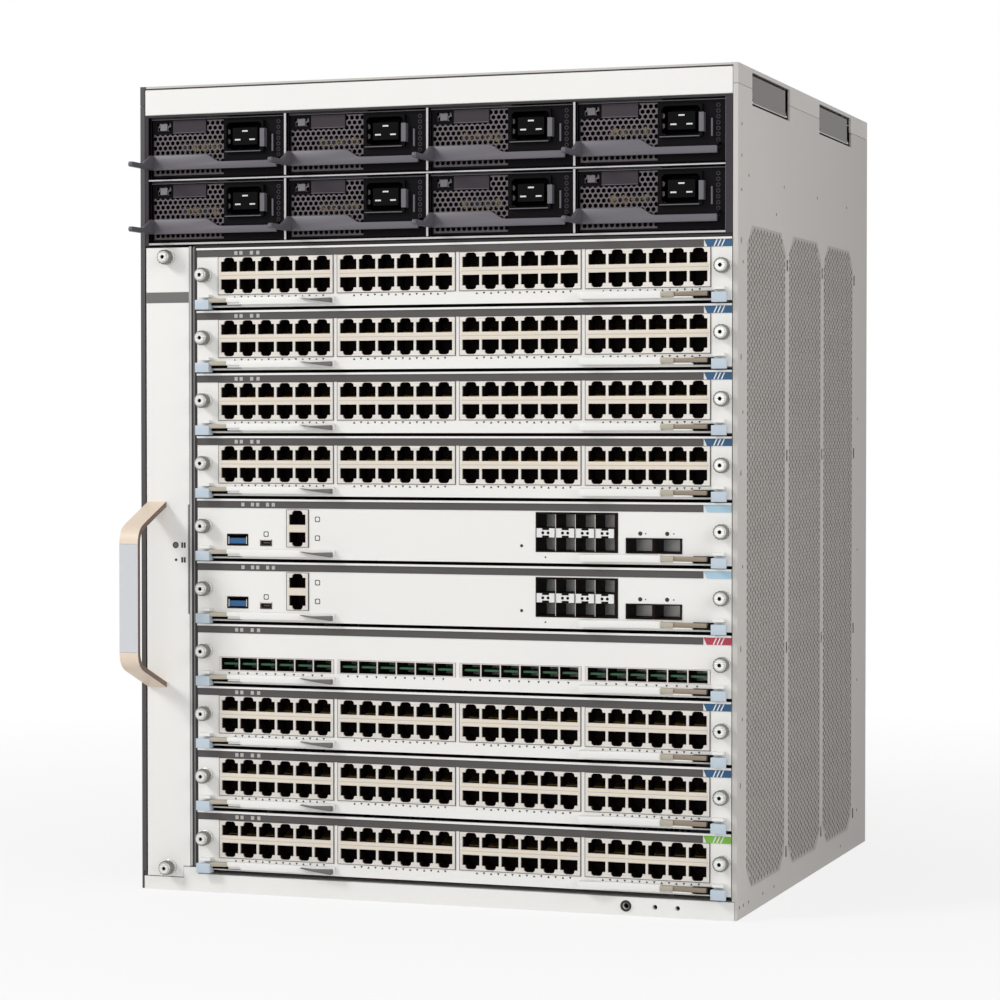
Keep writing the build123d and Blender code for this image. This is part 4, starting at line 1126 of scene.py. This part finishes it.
        columns = [298.7 + i * 14.1 for i in range(4)]
        rows = ((-32.4, -23.6), (-16.6, -7.4))
        loops = [rectangle(x, low, x + 13.4, high) for x in columns for low, high in rows]
        for start, end in ((-0.3, 0.6), (0.6, 22)):
            part.plate([rectangle(*UPLINKS), *loops], "y", start, end, "socket_black")
        part.box(298.0, 356.8, 22, 28, -33.3, -6.0, "zinc")
        for x in columns:
            part.box(x + 0.3, x + 4.1, -1.4, -0.3, -23.2, -17.0, "mark_white")
            part.box(x + 9.3, x + 13.1, -1.4, -0.3, -23.2, -17.0, "mark_white")
            part.box(x + 3.9, x + 9.5, -1.3, -0.3, -21.9, -18.2, "mark_white")
        dots = [(x + step, -1.3, -20.1) for x in columns for step in (4.8, 8.6)]
        part.printed(round_loop(0, 0, 1.05), dots, "socket_black")
        for x in columns[1:]:
            part.box(x - 0.5, x - 0.2, -0.6, 0, -32.4, -7.4, "socket_shield")

        loops = [rectangle(x, -32.5, x + 17.7, -23.8) for x in (363.2, 382.7)]
        part.plate([rectangle(*WIDE_UPLINKS), *loops], "y", -0.5, 22, "socket_black")
        part.box(362.3, 401.8, 22, 28, -33.4, -22.9, "zinc")
        for radius, places in DOTS:
            part.printed(round_loop(0, 0, radius), [(x, 0, z) for x, z in places])
        for x, z in ((97.3, -23.4), (136.5, -12.6), (136.5, -25.8)):
            rings = [chamfered(x - r, z - r, x + r, z + r, 0.6) for r in (1.9, 1.4)]
            part.plate(rings, "y", -0.12, 0.1, "mark_dark")


# Parts of a card lever: (along, forward) outline from the pivot, then bottom, top and finish
LEVER_TAB = ([(-1.5, -3.6), (-2.9, -2.9), (-4.3, -0.6), (-6, 2.2), (-6, 3.6), (4.6, 3.6), (4.6, -3.6)],
             -42.4, -35.6, "tab_sky")
LEVER_BARS = {
    "left": (
        ([(4.4, -4), (17, -4), (17, 0.6), (4.4, 3)], -37.6, -34.8, "lever_tan"),
        # Black block under the tan end: painted shade in the gap below the lever
        (rectangle(4.4, -4, 27, -1.6), -39.6, -37.6, "black_plastic"),
        ([(16.8, -4), (98, -4), (98, -1), (90, 0.6), (27, 0.6), (27, -1.4), (16.8, -1.4)],
         -39.2, -34.2, "white_enamel"),
        (rectangle(16.8, -1.5, 27.2, 0.6), -37.4, -34.2, "white_enamel"),
    ),
    "right": (
        ([(8, -4), (31.5, -4), (31.5, 0.4), (8, 2)], -38.0, -35.0, "lever_brown"),
        # Black block between tab and arm: painted shade in the gap there
        (rectangle(4.4, -4, 18.3, -1.6), -39.6, -34.6, "black_plastic"),
        (rectangle(31.3, -4, 40.5, 1.2), -38.2, -34.8, "lever_tan"),
        (rectangle(18.3, -4, 31.5, 0.8), -39.2, -38.2, "white_enamel"),
        ([(40.3, -4), (98, -4), (98, 3.6), (95, 5.2), (92, 5.2), (72, 0.6), (40.3, 0.6)],
         -39.2, -34.2, "white_enamel"),
    ),
}
LEVER_WEDGE = ((74, -35.2), (82, -35.9), (98, -35.4), (98, -38.9), (84, -37.1))
PIVOT_Y = -4.3


class CHASSIS_OT_card_levers(bpy.types.Operator):
    """Builds the twenty ejector levers of the cards"""

    bl_idname = "chassis.card_levers"
    bl_label = "Card Levers"

    def execute(self, context):
        sizes = context.scene.chassis_look.cards
        for side in SIDES:
            mesh = self.lever(side).to_mesh("card_lever", 0.25)
            for slot in range(1, 11):
                body = f"card_lever_{side}_slot_{slot}"
                shift = (0, 0, sizes.first_top - (slot - 1) * sizes.pitch)
                place_piece("ejector_" + body, mesh.copy(), body, [body], shift)
        return {"FINISHED"}

    def lever(self, side):
        """Tab, arm, bar and grip, reaching inwards from the pivot."""
        pivot, way = LEVER_PIVOTS[side], 1 if side == "left" else -1
        part = Piece()
        for points, low, high, finish in (LEVER_TAB, *LEVER_BARS[side]):
            outline = [(pivot + way * along, PIVOT_Y - forward) for along, forward in points]
            part.plate([outline], "z", low, high, finish)
        if side == "left":
            part.plate([[(pivot + along, z) for along, z in LEVER_WEDGE]], "y", -9.5, -4.5, "grip_dark")
        return part


# Fan tray

FAN_COLUMNS = [196 + (column - 1.5) * 94 for column in range(4)]
FAN_WELLS = [(y, 233.15 + (row - 1.5) * 108) for y in FAN_COLUMNS for row in range(4)]
TRAY_FACE = [(4.5, 9.6), (32.5, 9.6), (32.5, 17.6), (37.8, 17.6), (37.8, 459), (4.5, 459)]
TRAY_BODY = [(2, 17.6), (4.3, 17.6), (4.3, 10.3), (390, 10.3), (390, 456), (2, 456)]
STRAP_CORNERS = [Vector(corner) for corner in ((146.5, -1.0), (164.0, 44.25), (258.0, 44.25), (276.5, -1.0))]
STRAP_BEND, STRAP_HALF = 9, 1.75
LAMP_Z, LOWER_LAMP_Z = 247, 236.5


class CHASSIS_OT_fan_tray(bpy.types.Operator):
    """Builds the fan tray with its strap handle and sixteen fans"""

    bl_idname = "chassis.fan_tray"
    bl_label = "Fan Tray"

    def execute(self, context):
        part = Piece()
        part.plate([TRAY_FACE], "y", 0, 2, "white_enamel")
        part.box(4.7, 37.6, -0.2, 0.1, 419.7, 427.3, "band_grey")
        part.box(36.8, 37.8, -0.3, 0.1, 198, 276, "mid_trim")

        wells = [round_loop(y, z, 44, 32) for y, z in FAN_WELLS]
        part.plate([TRAY_BODY, *wells], "x", 5.5, 32.3, "zinc")
        part.plate([rectangle(2, 17.6, 390, 456), *wells], "x", 32.3, 37, "zinc")
        for y, z in FAN_WELLS:
            part.turned([(17, 0), (17, 25.5)], (8.5, y, z), "x", "chip_black", 20)
        for y in FAN_COLUMNS:
            part.box(34, 37, y - 4, y + 4, 17.15, 449.15, "zinc")
        blades = grown(fan_tree, hub_radius=16 * MM, tip_radius=42.5 * MM, material=finish_of("chip_black"))
        rotor = Piece()
        rotor.mesh(blades, "chip_black", Matrix.Rotation(math.radians(90), 4, "Y"))
        part.spread(rotor, [(21, y, z) for y, z in FAN_WELLS])

        line = self.strap_line()
        for points, finish in ((line[:8], "strap_cream"), (line[7:9], "strap_grip"), (line[8:], "strap_cream")):
            self.strap(part, points, finish)
        for z in (16.4, 452):
            part.screw(22, z)
        lamp_ring = [round_loop(27, LAMP_Z, radius, 20) for radius in (2.3, 1.5)]
        part.plate(lamp_ring, "y", -0.2, 0.1, "mark_dark")
        part.turned([(1.5, 0), (1.5, 0.25)], (27, -0.15, LAMP_Z), "y", "band_grey", 16)
        part.turned([(1.0, 0), (1.0, 0.2)], (27.3, -0.2, LOWER_LAMP_Z), "y", "mark_dark", 12)
        for z in (LAMP_Z, LOWER_LAMP_Z):
            for x in (31.4, 33.4):
                part.box(x, x + 1.4, -0.15, 0.1, z - 1.9, z + 1.9, "mark_dark")
        mesh = part.to_mesh("fan_tray")
        place_piece("dressed_fan_tray", mesh, "fan_tray", ["fan_tray"])
        return {"FINISHED"}

    def strap_line(self):
        """Middle of the strap as (height, reach) points, with rounded bends."""
        line = [STRAP_CORNERS[0]]
        for before, corner, after in zip(STRAP_CORNERS, STRAP_CORNERS[1:], STRAP_CORNERS[2:]):
            start, end = [corner + (other - corner).normalized() * STRAP_BEND for other in (before, after)]
            for t in (i / 6 for i in range(7)):
                line.append(start * (1 - t) ** 2 + corner * 2 * t * (1 - t) + end * t ** 2)
        return [*line, STRAP_CORNERS[-1]]

    def strap(self, part, line, finish):
        """Strap of even thickness along part of the line, with its right edge darker as painted shade."""
        edges = [[], []]
        for i, point in enumerate(line):
            run = (line[min(i + 1, len(line) - 1)] - line[max(i - 1, 0)]).normalized()
            side = Vector((-run.y, run.x)) * STRAP_HALF
            for edge, spot in zip(edges, (point + side, point - side)):
                edge.append((-spot.y, spot.x))
        outline = edges[0] + edges[1][::-1]
        part.plate([outline], "x", 5.2, 19.5, finish)
        # Right edge: painted shade
        part.plate([outline], "x", 19.5, 19.7, "strap_edge")


# Stage

OBJECT_MIDDLE = Vector((0, 0.02, 0.28))
CAMERA_TARGET = Vector((-0.0188, 0.023, 0.276))
FLOOR_REACH, FLOOR_Z = 9.0, -0.0005
WORLD_STRENGTH = 0.4


class CHASSIS_OT_stage(bpy.types.Operator):
    """Builds the floor, the light and the camera"""

    bl_idname = "chassis.stage"
    bl_label = "Stage"

    def execute(self, context):
        scene = context.scene
        settings = scene.chassis_look.stage
        scene.view_settings.view_transform = "Standard"
        self.floor(settings)
        self.world(scene)
        self.lamp("key_light", (-1.9, -1.9, 1.55), 0.7, settings.key_power)
        self.lamp("fill_light", (2.2, -1.6, 0.9), 1.6, settings.fill_power)
        self.lamp("front_light", (0.3, -2.6, 0.5), 1.8, settings.fill_power * 0.5)
        around, up = settings.azimuth, settings.elevation
        back = Vector((math.sin(around) * math.cos(up), -math.cos(around) * math.cos(up), math.sin(up)))
        lens = bpy.data.cameras.new("camera")
        lens.lens = settings.lens
        lens.sensor_width = 36.0
        lens.clip_end = 50
        scene.camera = self.aimed("camera", lens, CAMERA_TARGET + back * settings.distance, -back)
        return {"FINISHED"}

    def aimed(self, name, data, place, direction):
        """New camera or lamp that looks in a direction."""
        made = bpy.data.objects.new(name, data)
        bpy.context.scene.collection.objects.link(made)
        made.location = place
        made.rotation_mode = "QUATERNION"
        made.rotation_quaternion = direction.to_track_quat("-Z", "Y")
        return made

    def lamp(self, name, offset, size, power):
        """Soft square lamp that points at the object."""
        data = bpy.data.lights.new(name, "AREA")
        data.energy = power
        data.size = size
        self.aimed(name, data, OBJECT_MIDDLE + Vector(offset), -Vector(offset))

    def seen(self, tree):
        """Socket that is 1 for camera, glossy and transmission rays."""
        rays = add_node(tree, "ShaderNodeLightPath")
        total = rays["Is Camera Ray"]
        for label in ("Is Glossy Ray", "Is Transmission Ray"):
            total = add_node(tree, "ShaderNodeMath", {0: total, 1: rays[label]}, operation="MAXIMUM")[0]
        return total

    def floor(self, settings):
        """Pale floor that keeps the shadow and shows white to the camera."""
        mesh = bpy.data.meshes.new("floor")
        corners = rectangle(-FLOOR_REACH, -FLOOR_REACH, FLOOR_REACH, FLOOR_REACH)
        mesh.from_pydata([(x, y, FLOOR_Z) for x, y in corners], [], [(0, 1, 2, 3)])
        floor = bpy.data.objects.new("floor", mesh)
        bpy.context.scene.collection.objects.link(floor)
        made = Finish("floor", (238, 238, 238), 0.85)
        made.inputs["Base Color"].default_value = (*settings.floor_colour, 1)
        away = made.node("ShaderNodeVectorMath", {0: made.place}, operation="LENGTH")["Value"]
        share = made.maths("MULTIPLY", self.seen(made.tree), made.span(away, 0.3, 1.3, 0.8, 1.0))
        lit = made.tree.nodes["Principled BSDF"].outputs[0]
        glow = made.node("ShaderNodeEmission")[0]
        blend = made.node("ShaderNodeMixShader", {0: share, 1: lit, 2: glow})[0]
        made.tree.links.new(blend, made.tree.nodes["Material Output"].inputs["Surface"])
        mesh.materials.append(made.material)

    def world(self, scene):
        """Even light all round, white behind the object."""
        world = scene.world = bpy.data.worlds.new("studio")
        world.use_nodes = True
        tree, white = world.node_tree, (1, 1, 1, 1)
        light = tree.nodes["Background"]
        light.inputs["Color"].default_value = white
        light.inputs["Strength"].default_value = WORLD_STRENGTH
        backdrop = add_node(tree, "ShaderNodeBackground", {"Color": white})[0]
        shaders = {0: self.seen(tree), 1: light.outputs[0], 2: backdrop}
        blend = add_node(tree, "ShaderNodeMixShader", shaders)[0]
        tree.links.new(blend, tree.nodes["World Output"].inputs["Surface"])


# Add-on

OPERATORS = (
    CHASSIS_OT_stage, CHASSIS_OT_shell, CHASSIS_OT_side_panels, CHASSIS_OT_supplies,
    CHASSIS_OT_cards, CHASSIS_OT_card_levers, CHASSIS_OT_fan_tray,
)


class CHASSIS_PT_pieces(bpy.types.Panel):
    """Lists the pieces of the chassis switch"""

    bl_idname = "CHASSIS_PT_pieces"
    bl_label = "Chassis Switch"
    bl_space_type = "VIEW_3D"
    bl_region_type = "UI"
    bl_category = "Chassis"

    def draw(self, context):
        look = context.scene.chassis_look
        for group in (look.panels, look.cards, look.supplies, look.stage, look.colours):
            box = self.layout.box()
            for key in group.__annotations__:
                box.prop(group, key)
        for operator in OPERATORS:
            self.layout.operator(operator.bl_idname)


CLASSES = (
    PanelSizes, CardSizes, SupplySizes, StageSettings, FinishColours, ChassisLook,
    *OPERATORS, CHASSIS_PT_pieces,
)


def register():
    """Add the classes and the scene's settings."""
    for made in CLASSES:
        bpy.utils.register_class(made)
    bpy.types.Scene.chassis_look = PointerProperty(type=ChassisLook)


def unregister():
    """Take them away again."""
    del bpy.types.Scene.chassis_look
    for made in reversed(CLASSES):
        bpy.utils.unregister_class(made)


def main():
    register()
    for operator in OPERATORS:
        group, name = operator.bl_idname.split(".")
        getattr(getattr(bpy.ops, group), name)()


if __name__ == "__main__":
    main()
